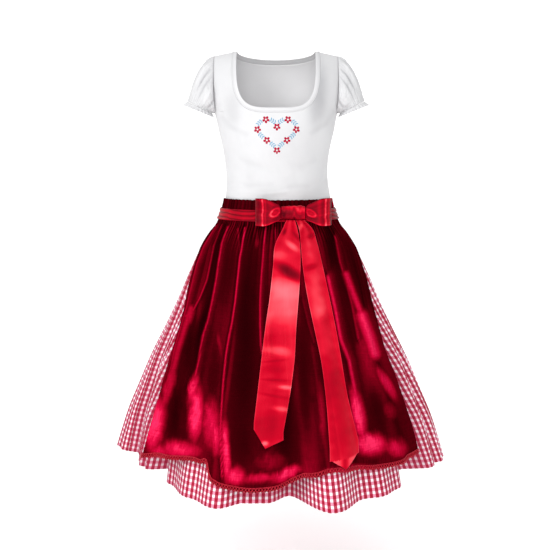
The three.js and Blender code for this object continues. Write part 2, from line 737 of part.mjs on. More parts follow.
piece('waist_tie', 'satin', wallOf(waistTie(), SATIN));
piece('bow_loop_left', 'satin', wallOf(bowLoop(-1), SATIN));
piece('bow_loop_right', 'satin', wallOf(bowLoop(1), SATIN));
piece('bow_knot', 'satin', wallOf(bowKnot(), SATIN));
piece('bow_tail_left', 'satin', wallOf(bowTail(TAIL_LEFT, TAIL_POINT_LEFT), SATIN));
piece('bow_tail_right', 'satin', wallOf(bowTail(TAIL_RIGHT, TAIL_POINT_RIGHT), SATIN));

export default dirndl;
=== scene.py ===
"""Dirndl worn in form: jersey top, gingham skirt, panne velvet apron, satin tie and bow.

Tables and lengths are millimetres and become metres when a mesh is made.
"""
import bpy
import numpy as np
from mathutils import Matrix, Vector


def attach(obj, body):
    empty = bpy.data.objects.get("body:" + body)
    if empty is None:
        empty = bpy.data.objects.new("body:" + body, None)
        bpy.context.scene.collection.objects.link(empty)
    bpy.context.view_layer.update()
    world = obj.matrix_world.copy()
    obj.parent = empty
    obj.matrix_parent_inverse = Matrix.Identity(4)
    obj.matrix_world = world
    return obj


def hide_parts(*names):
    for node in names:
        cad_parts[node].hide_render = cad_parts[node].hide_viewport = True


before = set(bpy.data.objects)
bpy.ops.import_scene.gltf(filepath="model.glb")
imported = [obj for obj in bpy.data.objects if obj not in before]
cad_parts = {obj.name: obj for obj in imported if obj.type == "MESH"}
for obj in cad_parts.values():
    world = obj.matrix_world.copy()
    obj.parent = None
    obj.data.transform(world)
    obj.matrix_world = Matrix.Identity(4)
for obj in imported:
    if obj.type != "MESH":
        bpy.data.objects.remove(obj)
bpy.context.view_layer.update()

MM = 0.001

# ---------- sizes ----------
# Walls of the solids, and how thick each cloth is shown.
JERSEY, GINGHAM, VELVET, SATIN = 1.4, 1.6, 2.0, 1.4
CLOTH_SHOWN = {"jersey": 1.0, "gingham": 0.9, "velvet": 1.5, "satin": 0.9}
BINDING_SHOWN, FRILL_SHOWN = 1.1, 0.9

# Gaps between pieces, as in the solids.
SEAM = 0.4
BAND_SEAM = 0.6
SHOULDER_SEAM = 1.2
LAYER = 0.4
BAND_EASE = 0.3

BAND_TOP, BAND_FOOT = -362.0, -395.0
TIE_TOP, TIE_FOOT = -381.0, -408.0
FOLD_START = -418.0
SKIRT_HEM = -1012.0
TOP_HEM = -455.0

ARMHOLE_X = 151.0
UNDERARM = -146.0
NECK_HALF, NECK_DROP_FRONT, NECK_DROP_BACK, NECK_SQUARENESS = 95.0, 138.0, 17.0, 4.0
BINDING = 11.0
SHOULDER_SLOPE = 12.0
SHOULDER_CAP = 105.0

# Points along and points down in the grid of each piece.
GRIDS = {
    "sleeve": (231, 52), "frill": (241, 12), "skirt": (331, 84), "waistband": (241, 14),
    "apron": (311, 132), "apron_band": (281, 16), "tie": (361, 26), "loop": (131, 46),
    "knot": (121, 40), "tail": (41, 200),
}


def table(names, *rows):
    """Columns by name from rows of numbers."""
    return {name: np.array(values, float) for name, values in zip(names.split(), zip(*rows))}


# Cross-sections of the body under the top, and of the skirt's cone.
BODY = table(
    "z centre half front back",
    (0, -5, 163, 98, 88),
    (-40, -5, 168, 102, 91),
    (-80, -5, 168, 107, 93),
    (-120, -5, 159, 112, 95),
    (-146, -5, 151, 115, 96),
    (-189, -4, 142, 117, 95),
    (-245, -4, 130, 111, 91),
    (-294, -3, 125, 102, 88),
    (-334, -1, 127, 98, 87),
    (-362, 0, 131, 97, 88),
    (-395, 0, 139, 101, 92),
    (-455, 0, 152, 112, 104),
)
SKIRT = table(
    "z half flat",
    (-395, 141, 38),
    (-418, 152, 38),
    (-463, 184, 36),
    (-542, 224, 32),
    (-613, 254, 29),
    (-683, 287, 27),
    (-758, 324, 25),
    (-839, 358, 23),
    (-900, 383, 22),
    (-970, 405, 20),
    (-1012, 417, 20),
)
# The skirt's flutes: ridges and valleys round the hem, by their radius there.
FLUTES = table(
    "angle radius",
    (-97, 420), (-84, 346), (-67, 357), (-58, 292), (-44, 356), (-29, 401), (-18, 437), (-11, 390),
    (-4, 384), (4, 338), (15, 458), (28, 402), (34, 410), (43, 394), (58, 322), (63, 328), (69, 392),
    (83, 417), (97, 352), (111, 425), (124, 349), (136, 418), (148, 372), (158, 432), (171, 350),
    (184, 424), (195, 366), (207, 428), (221, 342), (233, 414), (246, 350), (263, 420),
)
FLUTE_RISE = 1.3
FLUTE_MIDDLE = 407.0
SKIRT_GATHER = 2.2
SKIRT_GATHER_FADE = 170.0

# The apron's edges in degrees from the front, its own folds and the height of its hem.
APRON_EDGES = table(
    "z left right",
    (-361, 84, 84),
    (-395, 82, 83),
    (-452, 74, 75),
    (-515, 68, 68),
    (-566, 65, 64.5),
    (-637, 59, 60),
    (-710, 56.5, 56),
    (-777, 55.6, 56),
    (-850, 56, 56),
    (-965, 57, 55),
)
APRON_FOLDS = table(
    "across middle hem",
    (-1.0, -4, -22), (-0.9, 9, 0), (-0.8, -4, -6), (-0.66, 17, 8), (-0.54, 2, 2), (-0.39, -6, 0),
    (-0.31, 24, 30), (-0.16, 12, 42), (-0.04, 2, 34), (0.08, -6, 14), (0.18, 8, 12), (0.3, 12, 24),
    (0.38, 0, 10), (0.48, 18, 20), (0.62, -4, 10), (0.76, 20, 14), (0.88, -4, 0), (1.0, 2, 0),
)
APRON_HEM = table(
    "across z",
    (-1.0, -962), (-0.85, -945), (-0.6, -930), (-0.44, -926), (-0.385, -927), (-0.362, -951),
    (-0.32, -960), (-0.2, -966), (0.0, -963), (0.13, -946), (0.26, -931), (0.4, -934),
    (0.6, -946), (0.85, -947), (1.0, -945),
)
APRON_GATHER = 2.1
APRON_GATHER_FADE = 70.0
APRON_FREE = 60.0
SLOPE_ROOM = 0.5
APRON_ROOM = 3.0
APRON_ROUND = 9.0
BRIDGE = 3.0

# The ring of the cuff, and the fullness of the sleeve over it.
CUFF = dict(x=188.0, shift=-5.0, z=-134.0, half_width=29.0, half_depth=46.0, tilt=14.0)
SLEEVE_PUFF = 15.0
FRILL = 11.0

# The bow: its knot, its loops, how it curves back to each side, and the edges of its tails from the top down.
KNOT = dict(x=36.0, z=-386.0, depth=119.0, length=56.0, half_height=15.5, half_depth=10.0)
LOOP = dict(
    left=-54.0, right=127.0, half_height=32.0, pinch=12.2, opening=45.0, fullness=15.6,
    behind=0.35, layers=1.6, lift=2.0, lean=0.34, inside=4.0, shoulder=6.5,
)
BOW_CURVE = dict(left=0.0006, right=0.0042)
TAIL_LEFT = table(
    "z start end",
    (-403.8, 20, 40),
    (-425, 10, 46),
    (-455, -6, 51),
    (-505, -12, 52),
    (-575, -20, 47),
    (-640, -30, 41),
    (-710, -39, 36),
    (-775, -47, 25),
    (-830, -54, 11),
)
TAIL_RIGHT = table(
    "z start end",
    (-403.8, 43, 62),
    (-425, 50, 82),
    (-455, 53, 92),
    (-505, 57, 104),
    (-575, 68, 119),
    (-640, 82, 132),
    (-710, 97, 144),
    (-775, 105, 154),
    (-880, 112, 178),
)
TAIL_PLAIN = 0.75
TAIL_REACH = (-16, -8, 0, 8, 16)
TAIL_STAND = table("z out", (-403.8, 7), (-414, 3.2), (-430, 3.2), (-1012, 3.2))

# ---------- camera ----------
# It stands 2.5 m in front of the garment, at shoulder height, and looks a little down.
VIEW_SIDE = 550.0
CAMERA_PLACE = (-7.5, -2500.0, -207.0)
CAMERA_DOWN = 7.86
SENSOR = 36.0
LENS = 65.45


def seen_at(points):
    """Where points are seen from the front, in steps of 1/550 of the view from its top left corner."""
    down = np.radians(CAMERA_DOWN)
    away = points - np.array(CAMERA_PLACE)
    depth = away[..., 1] * np.cos(down) - away[..., 2] * np.sin(down)
    up = away[..., 1] * np.sin(down) + away[..., 2] * np.cos(down)
    focal = LENS / SENSOR * VIEW_SIDE
    return VIEW_SIDE / 2 + focal * away[..., 0] / depth, VIEW_SIDE / 2 - focal * up / depth


def make_camera():
    data = bpy.data.cameras.new("camera")
    data.lens = LENS
    data.sensor_width = SENSOR
    camera = bpy.data.objects.new("camera", data)
    camera.location = [value * MM for value in CAMERA_PLACE]
    camera.rotation_euler = (np.radians(90 - CAMERA_DOWN), 0, 0)
    bpy.context.collection.objects.link(camera)
    bpy.context.scene.camera = camera


# ---------- small sums ----------
def clamp(value):
    return np.clip(value, 0.0, 1.0)


def blend(start, end, share):
    return start + (end - start) * share


def ease(share):
    """0 to 1 with a soft start and a soft end."""
    return (1 - np.cos(np.pi * clamp(share))) / 2


def bell(value, width):
    """1 at 0, fading on both sides."""
    return np.exp(-((value / width) ** 2))


def look(rows, key, at, column, eased=False):
    """A column of a table at a key: eased between its rows, or on a smooth curve through them."""
    keys, values = rows[key], rows[column]
    if keys[0] > keys[-1]:
        keys, values = keys[::-1], values[::-1]
    at = np.clip(np.asarray(at, float), keys[0], keys[-1])
    low = np.clip(np.searchsorted(keys, at, side="right") - 1, 0, len(keys) - 2)
    wide = keys[low + 1] - keys[low]
    share = (at - keys[low]) / wide
    if eased:
        return blend(values[low], values[low + 1], ease(share))
    slopes = np.gradient(values, keys)
    square, cube = share**2, share**3
    return (
        (2 * cube - 3 * square + 1) * values[low]
        + (cube - 2 * square + share) * wide * slopes[low]
        + (3 * square - 2 * cube) * values[low + 1]
        + (cube - square) * wide * slopes[low + 1]
    )


def place(x, y, z):
    return np.stack(np.broadcast_arrays(x, y, z), axis=-1).astype(float)


def grid(along_count, down_count):
    """Two shares from 0 to 1: u along the piece and v down it."""
    return np.meshgrid(np.linspace(0, 1, along_count), np.linspace(0, 1, down_count), indexing="ij")


def from_ends(share):
    """How far a share from 0 to 1 is from the nearer of its ends."""
    return np.minimum(share, 1 - share)


# Waves that make up a wandering line or a patchy surface, and what their sum is divided by.
LINE_PITCHES, LINE_SUM = (1.0, 1.7, 2.9, 4.6), 2.4
PATCH_WAVES, PATCH_FIRST, PATCH_STEP, PATCH_FADE, PATCH_SUM = 9, 0.6, 0.28, 0.3, 3.0
GATHER_SHIFT, GATHER_HEIGHT, GATHER_CHANGE, GATHER_ROUND = 0.35, 0.75, 0.25, 0.8


def uneven(position, seed, size=1.0):
    """A smooth wandering value from -1 to 1, the same each time."""
    draw = np.random.default_rng(seed)
    total = 0.0
    for pitch in LINE_PITCHES:
        total = total + np.sin(position / size * pitch * 2 * np.pi + draw.uniform(0, 2 * np.pi)) / pitch**0.6
    return total / LINE_SUM


def mottle(x, y, seed, size):
    """Smooth patches from -1 to 1 over a surface."""
    draw = np.random.default_rng(seed)
    total = 0.0
    for step in range(PATCH_WAVES):
        turn = draw.uniform(0, 2 * np.pi)
        pitch = (PATCH_FIRST + PATCH_STEP * step) / size
        along = x * np.cos(turn) + y * np.sin(turn)
        wave = np.sin(along * pitch * 2 * np.pi + draw.uniform(0, 2 * np.pi))
        total = total + wave / (1 + PATCH_FADE * step)
    return total / PATCH_SUM


def gathers(position, count, seed):
    """Uneven gathers: rounded ridges from 0 to 1 with tight valleys."""
    phase = position * count + GATHER_SHIFT * uneven(position, seed, 0.13)
    height = GATHER_HEIGHT + GATHER_CHANGE * uneven(position, seed + 1, 0.05)
    return height * np.abs(np.cos(np.pi * phase)) ** GATHER_ROUND


def normals_of(points, closed):
    if closed:
        wrapped = np.concatenate([points[-2:-1], points, points[1:2]])
        along = np.gradient(wrapped, axis=0)[1:-1]
    else:
        along = np.gradient(points, axis=0)
    down = np.gradient(points, axis=1)
    square = np.cross(along, down)
    return square / np.maximum(np.linalg.norm(square, axis=-1, keepdims=True), 1e-9)


# The upright axis, as a centre that has no height.
AXIS = (0.0, 0.0, np.nan)


def looks_away(square, points, centre):
    """Whether normals point away from a centre on the whole."""
    away = points - np.array(centre)
    if np.isnan(centre[2]):
        away[..., 2] = 0
    return (square * away).sum() > 0


def outward(points, closed, centre):
    square = normals_of(points, closed)
    return square if looks_away(square, points, centre) else -square


def push(points, distance, closed=False, centre=AXIS):
    return points + outward(points, closed, centre) * np.asarray(distance)[..., None]


def beside_line(px, py, line):
    """Distance from a line of view points, and the side of it: 1 to the right, -1 to the left."""
    best = np.full(np.shape(px), 1e9)
    side = np.ones(np.shape(px))
    for (ax, ay), (bx, by) in zip(line, line[1:]):
        wide, tall = bx - ax, by - ay
        share = clamp(((px - ax) * wide + (py - ay) * tall) / (wide**2 + tall**2))
        away = np.hypot(px - ax - share * wide, py - ay - share * tall)
        nearer = away < best
        best = np.where(nearer, away, best)
        side = np.where(nearer, np.sign((px - ax) * tall - (py - ay) * wide), side)
    return best, side


def near_line(px, py, line, width):
    """1 on a line of view points and fading to 0 over a width on both sides."""
    return bell(beside_line(px, py, line)[0], width)


def near_spot(px, py, x, y, half_width, half_height, turn=0.0):
    """1 in a soft oval and 0 outside it. The oval may be turned, in degrees."""
    turn = np.radians(turn)
    along = (px - x) * np.cos(turn) + (py - y) * np.sin(turn)
    beside = -(px - x) * np.sin(turn) + (py - y) * np.cos(turn)
    return np.exp(-(((along / half_width) ** 2 + (beside / half_height) ** 2) ** 1.4))


# ---------- meshes ----------
def arc(points):
    """Length along the first direction of a row or a grid of points."""
    steps = np.linalg.norm(np.diff(points, axis=0), axis=-1)
    return np.concatenate([np.zeros_like(steps[:1]), np.cumsum(steps, axis=0)])


def cloth(name, points, across, down, finish, closed=False, centre=AXIS, shades=None, thick=None):
    """A sheet of cloth from a grid of points.

    across and down are the cloth's own millimetres, kept in its UV map. shades are values at the points
    that its finish reads. A closed sheet's last row of points is its first one again.
    """
    count, rows = points.shape[:2]
    columns = count - 1 if closed else count
    index = (np.arange(count)[:, None] % columns) * rows + np.arange(rows)
    corners = [index[:-1, :-1], index[1:, :-1], index[1:, 1:], index[:-1, 1:]]
    place_at = [(slice(None, -1), slice(None, -1)), (slice(1, None), slice(None, -1)),
                (slice(1, None), slice(1, None)), (slice(None, -1), slice(1, None))]
    flat = np.stack(np.broadcast_arrays(across, down), axis=-1)
    uv = [flat[at] for at in place_at]
    if not looks_away(normals_of(points, closed), points, centre):
        corners, uv = corners[::-1], uv[::-1]
    faces = np.stack([c.ravel() for c in corners], axis=-1)
    mesh = bpy.data.meshes.new(name)
    mesh.from_pydata((points[:columns] * MM).reshape(-1, 3).tolist(), [], faces.tolist())
    layer = mesh.uv_layers.new(name="cloth")
    layer.data.foreach_set("uv", np.stack([c.reshape(-1, 2) for c in uv], axis=1).ravel())
    for key, value in (shades or {}).items():
        shade = mesh.attributes.new(key, "FLOAT", "POINT")
        shade.data.foreach_set("value", np.broadcast_to(value, (count, rows))[:columns].ravel())
    mesh.polygons.foreach_set("use_smooth", [True] * len(faces))
    mesh.update()
    piece = bpy.data.objects.new(name, mesh)
    bpy.context.collection.objects.link(piece)
    wall = piece.modifiers.new("wall", "SOLIDIFY")
    wall.thickness = (thick or CLOTH_SHOWN[finish]) * MM
    wall.offset = 0
    mesh.materials.append(MATERIALS[finish])
    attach(piece, "root")
    return piece


def thread_mesh(path, radius, sides):
    """The points and faces of a thin thread along a path."""
    along = np.gradient(path, axis=0)
    along /= np.linalg.norm(along, axis=-1, keepdims=True)
    beside = np.cross(along, np.array([0.0, 0.0, 1.0]))
    beside /= np.linalg.norm(beside, axis=-1, keepdims=True)
    above = np.cross(beside, along)
    turn = np.linspace(0, 2 * np.pi, sides, endpoint=False)
    ring = (
        path[:, None]
        + radius * np.cos(turn)[None, :, None] * beside[:, None]
        + radius * np.sin(turn)[None, :, None] * above[:, None]
    )
    count = len(path)
    index = np.arange(count * sides).reshape(count, sides)
    after = np.roll(index, -1, axis=1)
    faces = np.stack([index[:-1], after[:-1], after[1:], index[1:]], axis=-1).reshape(-1, 4).tolist()
    faces += [index[0][::-1].tolist(), index[-1].tolist()]
    return (ring * MM).reshape(-1, 3).tolist(), faces


# ---------- materials ----------
class Number:
    """A value in a node tree that takes plain sums."""

    def __init__(self, tree, socket):
        self.tree, self.socket = tree, socket

    def do(self, operation, *others):
        made = self.tree.nodes.new("ShaderNodeMath")
        made.operation = operation
        for slot, value in zip(made.inputs, (self, *others)):
            feed(self.tree, slot, value)
        return Number(self.tree, made.outputs[0])

    def __add__(self, other):
        return self.do("ADD", other)

    def __sub__(self, other):
        return self.do("SUBTRACT", other)

    def __mul__(self, other):
        return self.do("MULTIPLY", other)

    def __truediv__(self, other):
        return self.do("DIVIDE", other)

    def __pow__(self, other):
        return self.do("POWER", other)


def feed(tree, slot, value):
    if isinstance(value, Number):
        value = value.socket
    if isinstance(value, bpy.types.NodeSocket):
        tree.links.new(value, slot)
    elif hasattr(slot.default_value, "__len__") and len(slot.default_value) == 4 and len(value) == 3:
        slot.default_value = (*value, 1.0)
    else:
        slot.default_value = value


def node(tree, kind, inputs=None, **settings):
    made = tree.nodes.new(kind)
    for key, value in settings.items():
        setattr(made, key, value)
    for key, value in (inputs or {}).items():
        feed(tree, made.inputs[key], value)
    return made


def new_group(name, inputs, outputs):
    group = bpy.data.node_groups.new(name, "ShaderNodeTree")
    kinds = {"value": "NodeSocketFloat", "colour": "NodeSocketColor", "vector": "NodeSocketVector"}
    for label, kind in inputs.items():
        group.interface.new_socket(label, in_out="INPUT", socket_type=kinds[kind])
    for label, kind in outputs.items():
        group.interface.new_socket(label, in_out="OUTPUT", socket_type=kinds[kind])
    return group, group.nodes.new("NodeGroupInput"), group.nodes.new("NodeGroupOutput")


def use(tree, group, inputs):
    made = tree.nodes.new("ShaderNodeGroup")
    made.node_tree = group
    for key, value in inputs.items():
        feed(tree, made.inputs[key], value)
    return made


def mix(tree, share, low, high):
    made = node(tree, "ShaderNodeMix", data_type="RGBA")
    feed(tree, made.inputs[0], share)
    feed(tree, made.inputs[6], low)
    feed(tree, made.inputs[7], high)
    return made.outputs[2]


def ramp(tree, value, stops):
    made = node(tree, "ShaderNodeValToRGB")
    feed(tree, made.inputs[0], value)
    points = made.color_ramp.elements
    while len(points) < len(stops):
        points.new(0.5)
    for point, (at, colour) in zip(points, stops):
        point.position = at
        point.color = (*colour, 1.0)
    return made.outputs[0]


def weave_group():
    """Plain weave: threads of a given pitch that go over and under each other."""
    group, start, end = new_group(
        "weave", {"Cloth": "vector", "Thread": "value"}, {"Height": "value", "Over": "value"}
    )
    parts = node(group, "ShaderNodeSeparateXYZ", {"Vector": start.outputs["Cloth"]})
    thread = start.outputs["Thread"]
    across = Number(group, parts.outputs[0]) / thread
    down = Number(group, parts.outputs[1]) / thread
    wave_across = (across * np.pi).do("SINE")
    wave_down = (down * np.pi).do("SINE")
    over = (wave_across * wave_down) * 0.5 + 0.5
    body = wave_across.do("ABSOLUTE").do("MAXIMUM", wave_down.do("ABSOLUTE"))
    feed(group, end.inputs["Height"], body * 0.6 + over * 0.4)
    feed(group, end.inputs["Over"], over)
    return group


def cloudy_group():
    """Soft uneven tone over cloth."""
    group, start, end = new_group("cloudy", {"Cloth": "vector", "Size": "value"}, {"Tone": "value"})
    size = Number(group, start.outputs["Size"])
    scale = size.do("POWER", -1.0)
    noise = node(group, "ShaderNodeTexNoise", {
        "Vector": start.outputs["Cloth"], "Scale": scale, "Detail": 3.0, "Roughness": 0.55})
    feed(group, end.inputs["Tone"], noise.outputs[0])
    return group


def new_material(name):
    material = bpy.data.materials.new(name)
    material.use_nodes = True
    tree = material.node_tree
    tree.nodes.clear()
    out = tree.nodes.new("ShaderNodeOutputMaterial")
    shader = tree.nodes.new("ShaderNodeBsdfPrincipled")
    tree.links.new(shader.outputs[0], out.inputs[0])
    uv = node(tree, "ShaderNodeUVMap", uv_map="cloth").outputs[0]
    return material, tree, shader, uv


def attribute(tree, name):
    return Number(tree, node(tree, "ShaderNodeAttribute", attribute_name=name).outputs["Fac"])


def bump(tree, shader, height, distance, strength=1.0):
    made = node(tree, "ShaderNodeBump", {"Height": height, "Distance": distance * MM, "Strength": strength})
    tree.links.new(made.outputs[0], shader.inputs["Normal"])


def split(tree, vector):
    parts = node(tree, "ShaderNodeSeparateXYZ", {"Vector": vector})
    return Number(tree, parts.outputs[0]), Number(tree, parts.outputs[1])


JERSEY_WHITE = (0.64, 0.64, 0.65)
# Painted shade of the jersey, mixed in by its fold values.
JERSEY_SHADE = (0.36, 0.36, 0.375)
# Painted light: the lighter tone of the back where light comes through it.
JERSEY_LIT_BACK = (0.82, 0.82, 0.83)
KNIT_PITCH = 1.3
CHECK_PITCH = 14.4
RED_SHARE = 0.56
CHECK_WHITE = (0.90, 0.85, 0.89)
CHECK_PINK = (0.72, 0.20, 0.32)
CHECK_STRIPE = (0.40, 0.010, 0.050)
CHECK_RED = (0.34, 0.001, 0.024)
# Painted shade of the gingham in its valleys, gathers and troughs.
CHECK_FOLD_SHADE = (0.30, 0.02, 0.06)
GINGHAM_THREAD = 0.55
FLOWER_RED = (0.36, 0.001, 0.030)
LEAF_BLUE = (0.14, 0.32, 0.47)
# Sizes of the soft clouds of tone in each cloth, in millimetres.
JERSEY_CLOUD, GINGHAM_CLOUD, NAP_CLOUD, WEFT_CLOUD, SATIN_CLOUD = 60.0, 45.0, 5.0, 3.0, 1.1


def jersey_material(groups, finish):
    """Knitted jersey: plain, printed with the wreath, or with a painted light on the back, lighter where
    light comes through from behind.
    """
    material, tree, shader, uv = new_material(f"jersey_{finish}")
    across, down = split(tree, uv)
    tone = Number(tree, use(tree, groups["cloudy"], {"Cloth": uv, "Size": JERSEY_CLOUD}).outputs[0])
    rib = (across * (np.pi / KNIT_PITCH)).do("SINE").do("ABSOLUTE")
    loops = ((down * (2 * np.pi / KNIT_PITCH)) + rib * 2.0).do("SINE")
    knit = rib * 0.7 + loops * 0.3
    # fold holds painted shade: in the top's creases and soft shading, in the folds and gathers of sleeves and
    # frills, and in the binding's stitch line.
    fold = attribute(tree, "fold")
    share = tone * 0.2 + fold * 0.8
    colour = mix(tree, share.do("MINIMUM", 1.0), JERSEY_WHITE, JERSEY_SHADE)
    if finish == "printed":
        colour = wreath(tree, groups, colour)
    # The back's painted light, by its light values.
    if finish == "lit_back":
        colour = mix(tree, attribute(tree, "light"), colour, JERSEY_LIT_BACK)
    feed(tree, shader.inputs["Base Color"], colour)
    shader.inputs["Roughness"].default_value = 0.85
    shader.inputs["Sheen Weight"].default_value = 0.15
    shader.inputs["Sheen Roughness"].default_value = 0.5
    shader.inputs["Specular IOR Level"].default_value = 0.2
    bump(tree, shader, knit, 0.12, 0.5)
    return material


# The wreath printed on the front: a heart of small five-petalled flowers with leafy sprigs between.
# Flowers and sprigs stand in turn at the steps of each half of the heart.
WREATH_X, WREATH_Z = -3.0, -196.0
WREATH_WIDE, WREATH_TALL = 2.9, 2.5
WREATH_STEPS = 8
PETALS, FLOWER_SIZE, FLOWER_TURN = 5, 8.8, 0.5
PETAL_FROM, PETAL_LENGTH, PETAL_BLUNTNESS, FLOWER_HEART = 0.34, 0.66, 0.6, 0.25
SPRIG_HALF, SPRIG_LEAVES, STEM_HALF = 8.0, 3, 0.4
LEAF_LEAN, LEAF_ROOT, LEAF_MIDDLE = 0.55, 2.8, 3.1
# Squares of a leaf's half length and half breadth.
LEAF_LONG, LEAF_BROAD = 6.4, 2.4


def flower_group():
    """A flower of round petals about a place, turned by an angle, with a bare heart."""
    group, start, end = new_group(
        "flower", {"X": "value", "Z": "value", "Turn": "value"}, {"Petals": "value", "Heart": "value"}
    )
    x, z = Number(group, start.outputs["X"]), Number(group, start.outputs["Z"])
    away = ((x * x) + (z * z)) ** 0.5
    wave = ((z.do("ARCTAN2", x) + start.outputs["Turn"]) * (PETALS / 2)).do("COSINE")
    petal = wave.do("ABSOLUTE") ** PETAL_BLUNTNESS
    edge = petal * (PETAL_LENGTH * FLOWER_SIZE) + PETAL_FROM * FLOWER_SIZE
    feed(group, end.inputs["Petals"], away.do("LESS_THAN", edge))
    feed(group, end.inputs["Heart"], away.do("LESS_THAN", FLOWER_HEART * FLOWER_SIZE))
    return group


def sprig_group():
    """A stem with pairs of leaves that lean along it."""
    group, start, end = new_group(
        "sprig", {"X": "value", "Z": "value", "Turn": "value"}, {"Leaves": "value"}
    )
    x, z = Number(group, start.outputs["X"]), Number(group, start.outputs["Z"])
    turn = Number(group, start.outputs["Turn"])
    along = x * turn.do("COSINE") + z * turn.do("SINE")
    beside = (z * turn.do("COSINE") - x * turn.do("SINE")).do("ABSOLUTE")
    pitch = SPRIG_HALF * 2 / SPRIG_LEAVES
    local = ((along / pitch + 0.5).do("FRACT") - 0.5) * pitch - (beside - LEAF_ROOT) * LEAF_LEAN
    out = beside - LEAF_MIDDLE
    leaf = (local * local) / LEAF_BROAD + (out * out) / LEAF_LONG
    stem = beside.do("LESS_THAN", STEM_HALF)
    inside = along.do("ABSOLUTE").do("LESS_THAN", SPRIG_HALF)
    feed(group, end.inputs["Leaves"], leaf.do("LESS_THAN", 1.0).do("MAXIMUM", stem) * inside)
    return group


def heart_places():
    """Places along the right half of a heart curve, evenly spaced, and the way that it runs there."""
    t = np.linspace(0, np.pi, 400)
    x = 16 * np.sin(t) ** 3 * WREATH_WIDE
    z = (13 * np.cos(t) - 5 * np.cos(2 * t) - 2 * np.cos(3 * t) - np.cos(4 * t)) * WREATH_TALL
    length = np.concatenate([[0], np.cumsum(np.hypot(np.diff(x), np.diff(z)))])
    at = np.linspace(0, length[-1], WREATH_STEPS + 1)
    run = np.interp(at, length, np.unwrap(np.arctan2(np.gradient(z), np.gradient(x))))
    return list(zip(np.interp(at, length, x), np.interp(at, length, z), run))


def wreath(tree, groups, ground):
    """The wreath on a ground colour, alike on both sides of its middle."""
    place_at = node(tree, "ShaderNodeTexCoord").outputs["Object"]
    parts = node(tree, "ShaderNodeSeparateXYZ", {"Vector": place_at})
    x = (Number(tree, parts.outputs[0]) / MM - WREATH_X).do("ABSOLUTE")
    z = Number(tree, parts.outputs[2]) / MM - WREATH_Z
    petals = hearts = leaves = Number(tree, node(tree, "ShaderNodeValue").outputs[0])
    for step, (middle_x, middle_z, run) in enumerate(heart_places()):
        leafy = step % 2 == 1
        turn = run if leafy else run + FLOWER_TURN * (step // 2)
        motif = groups["sprig" if leafy else "flower"]
        made = use(tree, motif, {"X": x - middle_x, "Z": z - middle_z, "Turn": turn})
        if leafy:
            leaves = leaves.do("MAXIMUM", made.outputs["Leaves"])
        else:
            petals = petals.do("MAXIMUM", made.outputs["Petals"])
            hearts = hearts.do("MAXIMUM", made.outputs["Heart"])
    colour = mix(tree, leaves, ground, LEAF_BLUE)
    colour = mix(tree, petals, colour, FLOWER_RED)
    return mix(tree, hearts, colour, ground)


def gingham_material(groups):
    material, tree, shader, uv = new_material("gingham")
    across, down = split(tree, uv)
    stripe = (across / CHECK_PITCH).do("FRACT").do("LESS_THAN", RED_SHARE)
    bar = (down / CHECK_PITCH).do("FRACT").do("LESS_THAN", RED_SHARE)
    weave = use(tree, groups["weave"], {"Cloth": uv, "Thread": GINGHAM_THREAD})
    over = Number(tree, weave.outputs["Over"])
    tone = Number(tree, use(tree, groups["cloudy"], {"Cloth": uv, "Size": GINGHAM_CLOUD}).outputs[0])
    ground = mix(tree, bar * (over * -0.2 + 1.0), CHECK_WHITE, CHECK_PINK)
    ground = mix(tree, stripe * (over * 0.1 + 0.9), ground, CHECK_STRIPE)
    ground = mix(tree, stripe * bar, ground, CHECK_RED)
    # fold holds painted shade in the skirt's flute valleys, between gathers and in troughs.
    fold = attribute(tree, "fold")
    dark = mix(tree, (fold * 0.45 + tone * 0.06).do("MINIMUM", 1.0), ground, CHECK_FOLD_SHADE)
    feed(tree, shader.inputs["Base Color"], dark)
    shader.inputs["Roughness"].default_value = 0.8
    shader.inputs["Specular IOR Level"].default_value = 0.25
    bump(tree, shader, weave.outputs["Height"], 0.12, 0.4)
    return material


# Tones from dark to lit: of the velvet, picked by its tone and painted light and shade, of the satin, picked
# by its painted light and shade, and of the braid.
VELVET_TONES = (
    (0.0, (0.010, 0.0001, 0.0006)),
    (0.2, (0.046, 0.0002, 0.0020)),
    (0.4, (0.145, 0.0004, 0.006)),
    (0.6, (0.33, 0.0012, 0.017)),
    (0.8, (0.54, 0.003, 0.040)),
    (1.0, (0.86, 0.022, 0.100)),
)


def velvet_material(groups):
    material, tree, shader, uv = new_material("velvet")
    # This holds the velvet's tone with painted light and shade: lit fold edges, painted highlights and shaded
    # troughs.
    nap = attribute(tree, "nap")
    streak = node(tree, "ShaderNodeMapping", {"Vector": uv, "Scale": (1.0, 0.3, 1.0)}).outputs[0]
    brushed = Number(tree, use(tree, groups["cloudy"], {"Cloth": streak, "Size": NAP_CLOUD}).outputs[0])
    weft = node(tree, "ShaderNodeMapping", {"Vector": uv, "Scale": (0.06, 1.0, 1.0)}).outputs[0]
    lines = Number(tree, use(tree, groups["cloudy"], {"Cloth": weft, "Size": WEFT_CLOUD}).outputs[0])
    share = nap * (brushed * 0.4 + 0.82) + (lines - 0.5) * (nap * 0.24 + 0.05)
    feed(tree, shader.inputs["Base Color"], ramp(tree, share, VELVET_TONES))
    feed(tree, shader.inputs["Roughness"], share * -0.2 + 0.6)
    shader.inputs["Specular IOR Level"].default_value = 0.0
    bump(tree, shader, brushed * 0.6 + lines * 0.4, 0.4, 0.5)
    return material


SATIN_TONES = (
    (0.0, (0.08, 0.0003, 0.004)),
    (0.28, (0.25, 0.001, 0.009)),
    (0.48, (0.46, 0.0005, 0.013)),
    (0.60, (0.63, 0.008, 0.028)),
    (0.72, (0.78, 0.050, 0.075)),
    (0.85, (0.90, 0.125, 0.155)),
    (1.0, (1.0, 0.24, 0.26)),
)


